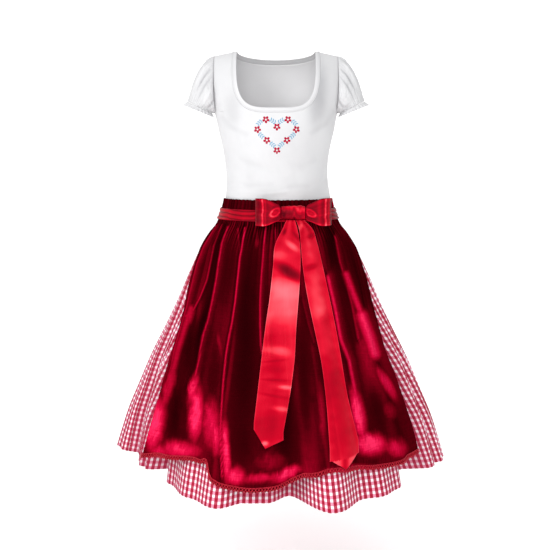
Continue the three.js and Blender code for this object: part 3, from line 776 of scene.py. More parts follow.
def satin_material(groups):
    material, tree, shader, uv = new_material("satin")
    # This holds the satin's painted light and shade: highlights and shade on its folds, creases and loops.
    glow = attribute(tree, "nap")
    streak = node(tree, "ShaderNodeMapping", {"Vector": uv, "Scale": (1.0, 0.05, 1.0)}).outputs[0]
    threads = Number(tree, use(tree, groups["cloudy"], {"Cloth": streak, "Size": SATIN_CLOUD}).outputs[0])
    feed(tree, shader.inputs["Base Color"], ramp(tree, glow + (threads - 0.5) * 0.06, SATIN_TONES))
    feed(tree, shader.inputs["Roughness"], threads * 0.12 + 0.3)
    shader.inputs["Specular IOR Level"].default_value = 0.12
    shader.inputs["Specular Tint"].default_value = (1.0, 0.2, 0.25, 1.0)
    shader.inputs["Anisotropic"].default_value = 0.5
    bump(tree, shader, threads, 0.08, 0.4)
    return material


BRAID_TONES = (
    (0.3, (0.10, 0.001, 0.004)),
    (0.5, (0.38, 0.003, 0.018)),
    (0.7, (0.76, 0.03, 0.06)),
)
BRAID_GRAIN = 900.0


def braid_material():
    material, tree, shader = new_material("braid")[:3]
    place_at = node(tree, "ShaderNodeTexCoord").outputs["Object"]
    grain = {"Vector": place_at, "Scale": BRAID_GRAIN, "Detail": 2.0}
    twist = node(tree, "ShaderNodeTexNoise", grain).outputs[0]
    feed(tree, shader.inputs["Base Color"], ramp(tree, twist, BRAID_TONES))
    shader.inputs["Roughness"].default_value = 0.55
    shader.inputs["Specular IOR Level"].default_value = 0.15
    bump(tree, shader, twist, 0.3, 0.6)
    return material


def make_materials():
    groups = {
        "weave": weave_group(), "cloudy": cloudy_group(), "flower": flower_group(), "sprig": sprig_group(),
    }
    return {
        "jersey": jersey_material(groups, "plain"),
        "printed": jersey_material(groups, "printed"),
        "lit_back": jersey_material(groups, "lit_back"),
        "gingham": gingham_material(groups),
        "velvet": velvet_material(groups),
        "satin": satin_material(groups),
        "braid": braid_material(),
    }


# ---------- top ----------
def shoulder_height(x):
    return -SHOULDER_SLOPE * clamp((np.abs(x) - NECK_HALF) / (ARMHOLE_X - NECK_HALF))


def armhole_angle(z):
    return np.arcsin(np.minimum(1, ARMHOLE_X / look(BODY, "z", z, "half")))


def body_point(facing, across, z):
    """On the body at a height and a share across from armhole to armhole. facing is 1 for the front."""
    angle = across * armhole_angle(z)
    x = look(BODY, "z", z, "half") * np.sin(angle)
    depth = look(BODY, "z", z, "front" if facing > 0 else "back") * np.cos(angle)
    below = clamp((shoulder_height(x) - z) / SHOULDER_CAP)
    cap = np.sqrt(1 - (1 - below) ** 2)
    apart = blend(SHOULDER_SEAM, SEAM, cap) / 2
    return place(look(BODY, "z", z, "centre") + x, -facing * (apart + depth * cap), z)


def neck_outline(facing, share):
    """Sideways place and height of the neck opening's edge: square in front, round behind."""
    turn = np.pi * ease(share)
    power = 2 / NECK_SQUARENESS if facing > 0 else 1
    drop = NECK_DROP_FRONT if facing > 0 else NECK_DROP_BACK
    side = np.sign(np.cos(turn)) * np.abs(np.cos(turn)) ** power
    return -NECK_HALF * side, -drop * np.abs(np.sin(turn)) ** power


def beside_neck(facing, share, away):
    """Points a distance below the neck opening, level with the shoulder at both ends."""
    step = 0.01
    x, z = neck_outline(facing, share)
    x0, z0 = neck_outline(facing, share - step)
    x1, z1 = neck_outline(facing, share + step)
    length = np.hypot(x1 - x0, z1 - z0)
    beside_x, beside_z = x + (z1 - z0) / length * away, z - (x1 - x0) / length * away
    end = np.sign(share - 0.5)
    at_end = (share < step) | (share > 1 - step)
    level = x + end * away
    return np.where(at_end, level, beside_x), np.where(at_end, shoulder_height(level), beside_z)


def across_at(x, z):
    return np.arcsin(x / look(BODY, "z", z, "half")) / armhole_angle(z)


STRAP_COLUMNS, NECK_COLUMNS, TOP_ROWS = 14, 130, 130
TUCKED_ROWS = 3
COLUMNS_LEAN = 1.6


def bodice(facing):
    """The top's front or back: columns from the waist up to the straps and the neck, and down inside."""
    edge = NECK_HALF + BINDING + SEAM
    strap_x = blend(ARMHOLE_X, edge, np.linspace(0, 1, STRAP_COLUMNS))
    neck_x, neck_z = beside_neck(facing, np.linspace(0, 1, NECK_COLUMNS)[1:-1], BINDING + SEAM)
    top_x = np.concatenate([-strap_x, neck_x, strap_x[::-1]])
    top_z = np.concatenate([shoulder_height(strap_x), neck_z, shoulder_height(strap_x[::-1])])
    end = across_at(top_x, top_z)
    end[0], end[-1] = -1, 1
    across = np.linspace(-1, 1, len(top_x))[:, None]
    v = np.linspace(0, 1, TOP_ROWS)[None, :]
    z = blend(BAND_TOP, top_z[:, None], v)
    tucked = np.broadcast_to([np.linspace(TOP_HEM, BAND_FOOT, TUCKED_ROWS)], (len(top_x), TUCKED_ROWS))
    z = np.concatenate([tucked, z], axis=1)
    v = np.concatenate([np.zeros((1, TUCKED_ROWS)), v], axis=1)
    return body_point(facing, blend(across, end[:, None], v**COLUMNS_LEAN), z)


# Soft shading of the top as seen in the view: middle, half width, half height, turn, strength.
TOP_SHADES = (
    (318, 93, 10, 29, 4, 0.85),
    (330, 120, 6, 14, 0, 0.12),
    (233, 106, 8, 18, -8, 0.30),
    (300, 150, 22, 22, 0, 0.10),
)
# How much of that shading the back has.
BACK_SHADE = 0.15
# Painted light: where the back is painted lighter most, for light that comes through it from behind: middle,
# half width and half height.
LIT_BACK_PLACE = (0.0, -85.0, 125.0, 95.0)
# Creases of the top as seen in the view: line, half width, depth (below 0 is a trough).
TOP_CREASES = (
    (((222, 118), (232, 128), (246, 134)), 3.0, -0.8),
    (((334, 112), (326, 124), (312, 133)), 3.0, -0.8),
    (((226, 150), (240, 160), (258, 166)), 3.5, -0.5),
    (((330, 150), (318, 160), (300, 166)), 3.5, -0.5),
    (((232, 182), (250, 186), (272, 184)), 2.5, -0.5),
    (((326, 180), (308, 186), (288, 187)), 2.5, -0.5),
    (((240, 192), (262, 195), (286, 192)), 2.2, 1.0),
    (((228, 136), (236, 168), (240, 198)), 5.0, 1.2),
    (((326, 136), (320, 168), (316, 198)), 5.0, 1.2),
)


TOP_WAVES = dict(height=0.35, size=60.0)
# Below the shoulders the creases begin, and near the edges they fade out.
CREASES_FROM, CREASES_EASE = -18.0, 30.0
TOP_EDGE_ACROSS, TOP_EDGE_DOWN = 0.06, 0.05
# How much painted shade the top has in its creases, by their depth.
CREASE_SHADE = 0.25
CHEST_ROW = 60


def top_relief(points, facing, px, py):
    """How far the top's cloth stands out in its creases and waves."""
    relief = TOP_WAVES["height"] * mottle(points[..., 0], points[..., 2], 5 + facing, TOP_WAVES["size"])
    for line, width, depth in TOP_CREASES:
        relief = relief + depth * near_line(px, py, line, width)
    relief = relief * clamp((CREASES_FROM - points[..., 2]) / CREASES_EASE)
    u, v = grid(*points.shape[:2])
    return relief * (ease(from_ends(u) / TOP_EDGE_ACROSS) * ease(from_ends(v) / TOP_EDGE_DOWN))


def make_top():
    for name, facing in (("bodice_front", 1), ("bodice_back", -1)):
        points = bodice(facing)
        px, py = seen_at(points * np.array([1, facing, 1]))
        relief = top_relief(points, facing, px, py)
        # Painted shade: darker in the creases and in the soft shading spots of the top.
        shade = clamp(-relief * CREASE_SHADE)
        for x0, y0, half_width, half_height, turn, strength in TOP_SHADES:
            strength = strength if facing > 0 else strength * BACK_SHADE
            shade = shade + strength * near_spot(px, py, x0, y0, half_width, half_height, turn)
        shades = {"fold": clamp(shade)}
        # Painted light on the back, most where its inside is seen through the neck.
        if facing < 0:
            shades["light"] = near_spot(points[..., 0], points[..., 2], *LIT_BACK_PLACE)
        across = arc(points[:, CHEST_ROW])[:, None]
        down = -points[..., 2]
        piece = cloth(
            f"{name}_cloth", push(points, relief), across, down, "printed" if facing > 0 else "lit_back",
            shades=shades, thick=CLOTH_SHOWN["jersey"],
        )
        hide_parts(name)


BINDING_COLUMNS, BINDING_ROWS = 150, 9
BINDING_ROLL = 0.5
BINDING_STITCH = dict(at=8.5, depth=0.35, width=1.2)
NECK_CENTRE = (0.0, 0.0, -400.0)


def make_neck_binding():
    """A folded strip all round the neck, rolled at its edge and stitched down near its foot."""
    shares = np.linspace(0, 1, BINDING_COLUMNS)
    rings = []
    for away in np.linspace(SEAM / 2, BINDING, BINDING_ROWS):
        fx, fz = beside_neck(1, shares, away)
        bx, bz = beside_neck(-1, shares[::-1][1:-1], away)
        front = body_point(1, across_at(fx, fz), fz)
        back = body_point(-1, across_at(bx, bz), bz)
        rings.append(np.concatenate([front, back, front[:1]]))
    points = np.stack(rings, axis=1)
    down = np.linspace(0, BINDING, BINDING_ROWS)[None, :]
    lift = BINDING_ROLL * np.sin(np.pi * np.linspace(0, 1, BINDING_ROWS))[None, :]
    stitched = -BINDING_STITCH["depth"] * bell(down - BINDING_STITCH["at"], BINDING_STITCH["width"])
    relief = np.broadcast_to(lift + stitched, points.shape[:2])
    points = push(points, relief, closed=True, centre=NECK_CENTRE)
    across = arc(points[:, 0])[:, None]
    # The stitch line is painted in shade as deep as it sinks.
    piece = cloth(
        "neck_binding_cloth", points, across, down, "jersey",
        closed=True, centre=NECK_CENTRE, shades={"fold": clamp(-stitched)}, thick=BINDING_SHOWN,
    )
    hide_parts("neck_binding")


# ---------- sleeves ----------
ARMHOLE_GAP = 0.5


def armhole_point(side, turn):
    middle = (UNDERARM - SHOULDER_SLOPE) / 2
    half_height = (-SHOULDER_SLOPE - UNDERARM) / 2
    z = middle + half_height * np.cos(turn)
    front, back = body_point(1, side, z), body_point(-1, side, z)
    edge = np.where((np.sin(turn) >= 0)[..., None], front, back)
    edge[..., 0] += side * ARMHOLE_GAP
    return edge


def cuff_point(side, turn):
    return place(
        side * (CUFF["x"] + CUFF["half_width"] * np.cos(turn)) + CUFF["shift"],
        -CUFF["half_depth"] * np.sin(turn),
        CUFF["z"] + CUFF["tilt"] * np.cos(turn),
    )


# Folds of a sleeve: share of the way round from the top, how wide, how high (below 0 is a trough), how far
# down they reach.
SLEEVE_FOLDS = (
    (0.055, 0.010, -3.2, 0.75),
    (0.105, 0.012, 2.2, 0.9),
    (0.150, 0.010, -3.0, 0.7),
    (0.205, 0.012, -2.4, 0.9),
    (0.275, 0.014, 2.0, 0.8),
    (0.335, 0.012, -2.6, 0.85),
    (0.660, 0.012, -2.6, 0.85),
    (0.740, 0.014, 2.0, 0.8),
    (0.800, 0.012, -2.6, 0.9),
    (0.860, 0.010, -3.0, 0.7),
    (0.905, 0.012, 2.2, 0.9),
    (0.950, 0.010, -3.2, 0.75),
)
SLEEVE_FOLD_GAIN, FOLD_ROUND = 1.2, 0.7
SLEEVE_GATHERS = 46
# Gathers at the sleeve's head and at its elastic: where down the sleeve, how far they reach, how high.
HEAD_GATHER = dict(at=0.06, reach=0.16, height=1.5)
CUFF_GATHER = dict(at=0.94, reach=0.2, height=1.9)
GATHER_MIDDLE = 0.6
PUFF_OUT = dict(side=0.75, up=0.65)
PUFF_HIGH, PUFF_UPPER = 0.7, 0.25
SLEEVE_WAVES = dict(height=1.3, around=300, down=90, size=22)
SLEEVE_HEAD_EASE, SLEEVE_CUFF_EASE = 0.05, 0.04
# Painted shade of a sleeve: in its deep folds, in its gathers, and a little all over.
SLEEVE_SHADE = dict(deep=0.25, fine=0.3, base=0.12)
SLEEVE_LENGTH = 95.0
SLEEVE_MIDDLE_ROW = 20


def sleeve(side):
    """A puffed sleeve from the armhole to the cuff, and the shade in its folds."""
    u, v = grid(*GRIDS["sleeve"])
    turn = 2 * np.pi * u
    upper = clamp(PUFF_UPPER + np.cos(turn))
    front = np.abs(np.sin(turn))
    puff = SLEEVE_PUFF * np.sin(np.pi * v**PUFF_HIGH) * np.maximum(upper, front)
    head = bell(v - HEAD_GATHER["at"], HEAD_GATHER["reach"]) * upper
    cuff = bell(v - CUFF_GATHER["at"], CUFF_GATHER["reach"])
    fine = (gathers(u, SLEEVE_GATHERS, 31 + side) - GATHER_MIDDLE) * (
        HEAD_GATHER["height"] * head + CUFF_GATHER["height"] * cuff)
    deep = np.zeros_like(u)
    for at, width, depth, reach in SLEEVE_FOLDS:
        beside = (u - at + 0.5) % 1.0 - 0.5
        deep += depth * bell(beside, width) * np.sin(np.pi * clamp(v / reach)) ** FOLD_ROUND
    settle = ease(v / SLEEVE_HEAD_EASE) * ease((1 - v) / SLEEVE_CUFF_EASE)
    out = place(side * PUFF_OUT["side"] * np.cos(turn), -np.sin(turn), PUFF_OUT["up"] * np.cos(turn))
    points = blend(armhole_point(side, turn), cuff_point(side, turn), v[..., None])
    waves = mottle(u * SLEEVE_WAVES["around"], v * SLEEVE_WAVES["down"], 3, SLEEVE_WAVES["size"])
    relief = (fine + deep * SLEEVE_FOLD_GAIN + SLEEVE_WAVES["height"] * waves) * settle
    shade = -deep * SLEEVE_SHADE["deep"] * settle - fine * SLEEVE_SHADE["fine"] + SLEEVE_SHADE["base"]
    return points + out * (puff + relief)[..., None], clamp(shade)


def make_sleeves():
    for name, side in (("left", -1), ("right", 1)):
        points, fold = sleeve(side)
        centre = (side * 165.0, 0.0, -90.0)
        across = arc(points[:, SLEEVE_MIDDLE_ROW])[:, None]
        down = np.linspace(0, SLEEVE_LENGTH, points.shape[1])[None, :]
        piece = cloth(
            f"sleeve_{name}_cloth", points, across, down, "jersey", closed=True, centre=centre,
            shades={"fold": fold},
        )
        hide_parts(f"sleeve_{name}")
        make_frill(name, side)


FRILL_GATHERS = 24
# Which way the frill falls from the cuff, how it flares and waves, and where it starts.
FRILL_FALL = dict(out=0.35, side=0.4, front=0.45, down=0.85)
FRILL_WAVE, FRILL_FLARE, FRILL_DRIFT = 2.8, 2.0, 1.2
FRILL_START = 1.5
# Painted shade in the frill's waves.
FRILL_SHADE = 0.35


def make_frill(name, side):
    u, v = grid(*GRIDS["frill"])
    turn = 2 * np.pi * u
    fall = place(
        side * (FRILL_FALL["out"] + FRILL_FALL["side"] * np.cos(turn)),
        -FRILL_FALL["front"] * np.sin(turn),
        -FRILL_FALL["down"],
    )
    wave = place(side * np.cos(turn), -np.sin(turn), 0.0)
    swing = np.cos(2 * np.pi * FRILL_GATHERS * u + FRILL_DRIFT * uneven(u, 7 + side, 0.2))
    points = (
        cuff_point(side, turn)
        + fall * blend(FRILL_START, FRILL, v)[..., None]
        + wave * (FRILL_WAVE * swing * v + FRILL_FLARE * v)[..., None]
    )
    centre = (side * 180.0, 0.0, -150.0)
    piece = cloth(
        f"sleeve_frill_{name}_cloth", points, arc(points[:, -1])[:, None], blend(0, FRILL, v), "jersey",
        closed=True, centre=centre, shades={"fold": clamp(-swing * FRILL_SHADE * v)}, thick=FRILL_SHOWN,
    )
    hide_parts(f"sleeve_frill_{name}")


# ---------- skirt ----------
def ring_point(turn, half_width, half_depth, z):
    return place(half_width * np.sin(turn), -half_depth * np.cos(turn), z)


def band_point(angle, z, out):
    """On the waist at a height, a distance outside the body. Angles run from the front, in degrees."""
    turn = np.radians(angle)
    depth = np.where(np.cos(turn) >= 0, look(BODY, "z", z, "front"), look(BODY, "z", z, "back"))
    return ring_point(turn, look(BODY, "z", z, "half") + out, depth + out, z)


SKIRT_BAND_OUT = JERSEY / 2 + LAYER + GINGHAM / 2 + BAND_EASE
APRON_BAND_OUT = SKIRT_BAND_OUT + GINGHAM / 2 + LAYER + VELVET / 2


def flute_at(angle):
    """How far the flute at an angle stands out at the hem, from the middle of all."""
    first = FLUTES["angle"][0]
    wrapped = first + (angle - first) % 360
    closed = {
        "angle": np.append(FLUTES["angle"], first + 360),
        "radius": np.append(FLUTES["radius"], FLUTES["radius"][0]),
    }
    return look(closed, "angle", wrapped, "radius", eased=True) - FLUTE_MIDDLE


def skirt_fall(z):
    """Share of the way down from where the folds start to the skirt's hem."""
    return clamp((FOLD_START - z) / (FOLD_START - SKIRT_HEM))


def skirt_fold(angle, z):
    return flute_at(angle) * skirt_fall(z) ** FLUTE_RISE


def cone_point(angle, z, fold):
    half = look(SKIRT, "z", z, "half")
    return ring_point(np.radians(angle), half + fold, half - look(SKIRT, "z", z, "flat") + fold, z)


GATHER_RISE = 20.0


def gather_depth(z, depth, fade):
    """Gathers start below the band, soon reach their depth and then fade out."""
    below = FOLD_START - z
    return depth * clamp(below / GATHER_RISE) * clamp(1 - below / fade)


SKIRT_GATHERS = 66
# Narrow troughs down the skirt where no apron covers it: angle, half width in degrees, depth at the hem.
SKIRT_TROUGHS = table(
    "angle half_width depth",
    (60.5, 1.7, 12), (67.5, 1.9, 15), (75.5, 1.8, 13), (82, 1.6, 14), (88.5, 1.7, 9), (96, 1.9, 12),
    (104, 1.7, 10), (113, 2.1, 13), (121, 1.7, 9), (130, 2.0, 12), (139, 1.8, 10), (147, 2.1, 13),
    (156, 1.7, 9), (165, 2.0, 12), (173, 1.8, 10), (182, 2.1, 12), (190, 1.7, 9), (199, 2.0, 12),
    (207, 1.8, 10), (216, 2.1, 13), (224, 1.7, 9), (233, 2.0, 12), (242, 1.8, 10), (250, 2.1, 13),
    (258, 1.7, 10), (265, 1.9, 12), (272, 1.6, 11), (279, 1.9, 15), (286, 1.7, 13), (292.5, 2.0, 15),
    (299, 1.6, 11),
)
TROUGH_FALL = 1.3
SMALL_FOLD = 1.6
SKIRT_ROWS_DOWN = 1.25         # above 1 the rows lie closer near the waist
SKIRT_DRAPE = 1.09             # length of cloth for each millimetre of height
SIDE_GATHERS_FROM, SIDE_GATHERS_EASE = 70.0, 12.0
SIDE_SEAM_EASE = 0.02
LEVEL_CHECK_FROM, LEVEL_CHECK_EASE = 50.0, 8.0
# Painted shade of the cloth in a flute's valley, between gathers and in a trough, by their depths.
VALLEY_SHADE = dict(flute=55.0, flute_most=0.7, gather=4.0, gather_most=0.8, trough=0.04)


def skirt_trough(angle, z):
    depth = np.zeros_like(z)
    for at, half_width, deepest in zip(*SKIRT_TROUGHS.values()):
        away = (angle - at + 180) % 360 - 180
        depth = depth + deepest * bell(away, half_width)
    return depth * clamp(TROUGH_FALL * (FOLD_START - z) / (FOLD_START - SKIRT_HEM))


def level_check(points, angle):
    """Where the front's stripes lie: hung from the hem, and square and level with the seam at each side."""
    rows = arc(points)
    hem = rows[:, -1:]
    square = np.where(angle < 0, rows, hem[-1:] - rows[-1:] + rows)
    return blend(hem, square, ease((np.abs(angle) - LEVEL_CHECK_FROM) / LEVEL_CHECK_EASE))


def make_skirt():
    for name, middle, seed in (("skirt_front", 0.0, 11), ("skirt_back", 180.0, 12)):
        front = middle == 0
        u, v = grid(*GRIDS["skirt"])
        z = blend(BAND_FOOT - BAND_SEAM, SKIRT_HEM, v**SKIRT_ROWS_DOWN)
        gap = np.degrees(SEAM / 2 / look(SKIRT, "z", z, "half"))
        angle = middle + blend(-90 + gap, 90 - gap, u)
        beside = clamp((np.abs(angle) - SIDE_GATHERS_FROM) / SIDE_GATHERS_EASE) if front else 1.0
        inside = ease(from_ends(u) / SIDE_SEAM_EASE)
        ridge = gathers(u, SKIRT_GATHERS, seed)
        gather = gather_depth(z, SKIRT_GATHER, SKIRT_GATHER_FADE) * (ridge - 1) * beside * inside * 2
        fall = skirt_fall(z)
        small = -SMALL_FOLD * np.abs(uneven(u, seed + 5, 0.09)) * np.sin(np.pi * fall) * inside
        trough = skirt_trough(angle, z)
        points = cone_point(angle, z, skirt_fold(angle, z) + gather + small - trough)
        across = level_check(points, angle) if front else arc(points)[:, -1:]
        down = (points[0, 0, 2] - z) * SKIRT_DRAPE
        valley = clamp(-flute_at(angle) / VALLEY_SHADE["flute"]) * fall * VALLEY_SHADE["flute_most"]
        valley = valley + clamp(-gather / VALLEY_SHADE["gather"]) * VALLEY_SHADE["gather_most"]
        valley = valley + trough * VALLEY_SHADE["trough"]
        piece = cloth(f"{name}_cloth", points, across, down, "gingham", shades={"fold": valley})
        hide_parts(name)
    u, v = grid(*GRIDS["waistband"])
    z = blend(BAND_TOP, BAND_FOOT, v)
    points = band_point(360 * u, z, SKIRT_BAND_OUT)
    piece = cloth(
        "skirt_waistband_cloth", points, arc(points[:, 0])[:, None], BAND_TOP - z, "gingham", closed=True,
        shades={"fold": 0.0},
    )
    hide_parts("skirt_waistband")


# ---------- apron ----------
# Fold edges of the apron as seen in the view, from the waist down: the line, its half width, how high it
# stands in millimetres and how bright the painted highlight along it is, then the side that a painted light
# runs out to from it (1 right, -1 left), how far, how bright, and how dark the painted shade in the trough on
# the other side is. A line of no height is a painted highlight streak alone.
APRON_EDGE_FOLDS = (
    (((216, 226), (204, 246), (197, 264), (191, 288), (187, 306), (180, 330), (174, 351), (166, 393)),
     0.9, 2.0, 0.58, 1, 6.0, 0.50, 0.0),
    (((222, 225), (214, 246), (207, 280), (200, 298), (194, 309), (186, 316)),
     1.1, 3.5, 0.64, -1, 3.0, 0.40, 0.6),
    (((228, 227), (222, 243), (218.5, 263), (216, 281), (212, 302), (208, 320), (202.5, 337), (199.5, 355),
      (197, 369), (191, 389)), 1.1, 6.0, 0.72, 1, 7.0, 0.40, 0.9),
    (((238, 229), (240, 252)), 0.9, 2.0, 0.60, -1, 3.0, 0.36, 0.2),
    (((245, 228), (241.5, 250), (240, 257), (238, 277), (235.3, 302), (232, 323), (229, 337), (226, 355),
      (223.5, 379), (222, 399), (220.5, 430), (221, 455), (222, 478)), 1.1, 6.0, 0.76, 1, 4.0, 0.36, 0.7),
    (((265.5, 228), (264, 243), (262.7, 260), (261, 281), (260, 302), (260, 323), (260.6, 344), (262, 354)),
     1.0, 4.0, 0.70, 1, 5.0, 0.46, 0.5),
    (((275, 228), (276, 243)), 1.1, 1.0, 0.5, 1, 3.0, 0.32, 0.3),
    (((303, 300), (308, 322), (314, 342)), 1.6, 0.5, 0.34, 1, 4.0, 0.34, 0.5),
    (((335, 236), (340, 262), (346, 282), (352, 305), (358, 338)), 1.4, 4.0, 0.5, 1, 6.0, 0.40, 0.8),
    (((346, 274), (354, 296), (362, 316)), 4.2, 0.0, 0.74, 1, 3.0, 0.3, 0.3),
    (((362, 316), (369, 335), (375, 354)), 7.6, 0.0, 0.88, 1, 3.0, 0.3, 0.0),
    (((191, 308), (186, 324), (178, 350), (171, 380), (163, 405)), 4.2, 0.0, 0.60, 1, 3.0, 0.3, 0.0),
    (((328, 277), (335, 308), (341, 340), (349, 360), (354.5, 389), (359, 418), (365, 448)),
     2.4, 4.0, 0.78, 1, 7.0, 0.60, 0.6),
)


def apron_edge(side, z):
    """The angle of the apron's left edge, for a side below 0, or its right edge."""
    return np.where(side < 0, look(APRON_EDGES, "z", z, "left"), look(APRON_EDGES, "z", z, "right"))


def apron_angle(across, z):
    return across * apron_edge(across, z)


def soft_max(a, b, rounding):
    """The greater of two, with a rounded change from one to the other."""
    return (a + b + np.hypot(a - b, rounding)) / 2


def apron_foot(across):
    return look(APRON_HEM, "across", across, "z")


def apron_fold(across, z):
    """The apron's own folds: from flat at the tie through the middle row's to the hem's."""
    fall = clamp((FOLD_START - z) / (FOLD_START - apron_foot(across)))
    middle = look(APRON_FOLDS, "across", across, "middle", eased=True)
    hem = look(APRON_FOLDS, "across", across, "hem", eased=True)
    return np.where(fall < 0.5, middle * fall * 2, blend(middle, hem, ease(fall * 2 - 1)))


EDGE_FOLD_ROOM = 1.6


def apron_point(across, z, gather=0.0):
    """Middle of the apron: its own folds and ridges, riding over the skirt's flutes."""
    angle = apron_angle(across, z)
    free = clamp((FOLD_START - z) / APRON_FREE)
    under = np.max([skirt_fold(angle + turn, z) for turn in (-BRIDGE, 0, BRIDGE)], axis=0)
    slope = clamp((BAND_FOOT - z) / (BAND_FOOT - FOLD_START))
    clear = GINGHAM / 2 + LAYER + VELVET / 2 + SLOPE_ROOM * slope + APRON_ROOM * free
    fold = soft_max(under + clear, apron_fold(across, z) + clear, APRON_ROUND * free)
    px, py = seen_at(cone_point(angle, z, fold))
    for line, width, height, *painted_light_values in APRON_EDGE_FOLDS:
        fold = fold + height * free * near_line(px, py, line, width + EDGE_FOLD_ROOM)
    return cone_point(angle, z, fold + gather)


# Painted highlights and painted shade on the velvet, where its pressed nap shows bright or dark: middle in
# the view, half width, half height, turn, strength.
BRIGHT_SPOTS = (
    (257, 240, 2.2, 12, 0, 0.44),
    (189, 316, 6, 11, 24, 0.62),
    (169, 386, 6.0, 30, 15, 0.66),
    (155, 424, 11.0, 32, 8, 1.0),
    (220, 344, 3.0, 20, -10, 0.45),
    (193, 388, 5.0, 18, 14, 0.90),
    (196, 414, 8.5, 32, 3, 1.00),
    (211, 424, 11.0, 30, 0, 0.76),
    (216, 438, 6.0, 22, 0, 0.86),
    (180, 450, 26, 11, 4, 0.86),
    (160, 452, 12, 8, 0, 0.80),
    (226, 452, 5.0, 38, -3, 0.96),
    (235, 476, 12, 11, 20, 0.94),
    (262, 478, 26, 6, -6, 0.72),
    (287, 474, 19, 7, -26, 0.94),
    (270, 462, 20, 11, 0, 0.46),
    (322, 415, 5.0, 40, -4, 0.50),
    (387, 384, 6.0, 22, -30, 0.80),
    (358, 414, 8.0, 30, -10, 1.00),
    (370, 444, 20, 13, 6, 1.00),
    (396, 448, 14, 11, 20, 0.76),
    (352, 470, 34, 6, -4, 0.80),
    (390, 410, 8, 12, -20, 0.46),
)
DARK_SPOTS = (
    (176, 412, 7, 34, 10, 0.85),
    (190, 350, 6, 36, 12, 0.75),
    (203, 322, 3.5, 26, 16, 0.80),
    (214, 378, 6, 30, 6, 0.50),
    (245, 370, 14, 80, 2, 0.66),
    (249, 290, 8, 60, 4, 0.60),
    (304, 380, 7, 66, -4, 0.75),
    (330, 244, 5, 32, -8, 0.75),
    (347, 330, 4, 30, -18, 0.60),
    (378, 412, 8, 28, -14, 0.70),
    (384, 326, 5, 50, -24, 0.30),
    (240, 448, 12, 22, 0, 0.50),
    (288, 425, 14, 46, -2, 0.60),
    (240, 300, 6, 50, 4, 0.40),
    (200, 342, 3, 26, 10, 0.60),
    (222, 272, 14, 36, 8, 0.34),
    (336, 262, 9, 42, -10, 0.40),
    (354, 262, 14, 52, -24, 0.45),
)
# The velvet's base tone, how much painted side light it has (lighter facing left, darker facing right), the
# share of it on the side facing right, its random drift, the random fraying and mottling of its painted
# spots, and how far a trough's painted shade reaches.
NAP_BASE = 0.25
PAINTED_SIDE_LIGHT, PAINTED_SIDE_SHADE_SHARE = 0.34, 0.6
NAP_DRIFT = 0.04
SPOT_FRAY = dict(across=0.8, across_fine=0.3, down=1.6)
SPOT_GRAIN = dict(base=0.95, fine=0.08, ruffled=0.07)
TROUGH_REACH = 0.9


def tone_and_painted_light_of(points, angle):
    """The velvet's tone and painted light: lighter where a fold faces left and darker where it faces right,
    as if lit from the left, with painted highlights along fold edges, painted shade in their troughs, bright
    and dark pressed-nap patches, and random mottling.
    """
    px, py = seen_at(points)
    x, z = points[..., 0], points[..., 2]
    ruffled = mottle(x * 1.4, z * 0.5, 23, 22.0)
    fine = mottle(x * 1.5, z * 0.4, 24, 8.0)
    turn = np.radians(angle)
    beside = place(np.cos(turn), np.sin(turn), 0.0)
    facing = (outward(points, False, AXIS) * beside).sum(axis=-1)
    slope = PAINTED_SIDE_LIGHT * np.where(facing > 0, PAINTED_SIDE_SHADE_SHARE, 1)
    nap = NAP_BASE + NAP_DRIFT * mottle(x, z * 0.3, 21, 60.0) - slope * facing
    near_x = px + SPOT_FRAY["across"] * ruffled + SPOT_FRAY["across_fine"] * fine
    near_y = py + SPOT_FRAY["down"] * ruffled
    grain = SPOT_GRAIN["base"] + SPOT_GRAIN["fine"] * fine + SPOT_GRAIN["ruffled"] * ruffled
    for x0, y0, half_width, half_height, turn, strength in DARK_SPOTS:
        nap = nap * (1 - strength * near_spot(near_x, near_y, x0, y0, half_width, half_height, turn))
    for line, width, height, core, side, reach, glow, trough in APRON_EDGE_FOLDS:
        away, on = beside_line(px, py, line)
        nap = nap * (1 - trough * (on != side) * bell(away, reach * TROUGH_REACH))
        nap = np.maximum(nap, glow * (on == side) * np.exp(-away / reach))
        nap = np.maximum(nap, core * bell(away, width))
    for x0, y0, half_width, half_height, turn, strength in BRIGHT_SPOTS:
        spot = near_spot(near_x, near_y, x0, y0, half_width, half_height, turn)
        nap = np.maximum(nap, strength * spot * grain)
    return clamp(nap)


APRON_GATHERS, APRON_PLEATS = 62, 14
APRON_PLEAT, APRON_PLEAT_FADE = 2.6, 260.0
APRON_ROWS_DOWN = 1.15
APRON_DRAPE = 1.1
APRON_SIDE_EASE = 0.02
# The hem's puckers: how far above it, how far they reach, how many and how high.
HEM_PUCKER = dict(above=17.0, reach=7.0, count=120, height=1.3)
# Painted light and shade on the gathers just under the tie, lit on their ridges and shaded between: how far
# down, how strong, and the middle level.
TIE_GATHER_LIGHT = dict(reach=45.0, strength=0.75, middle=0.6)


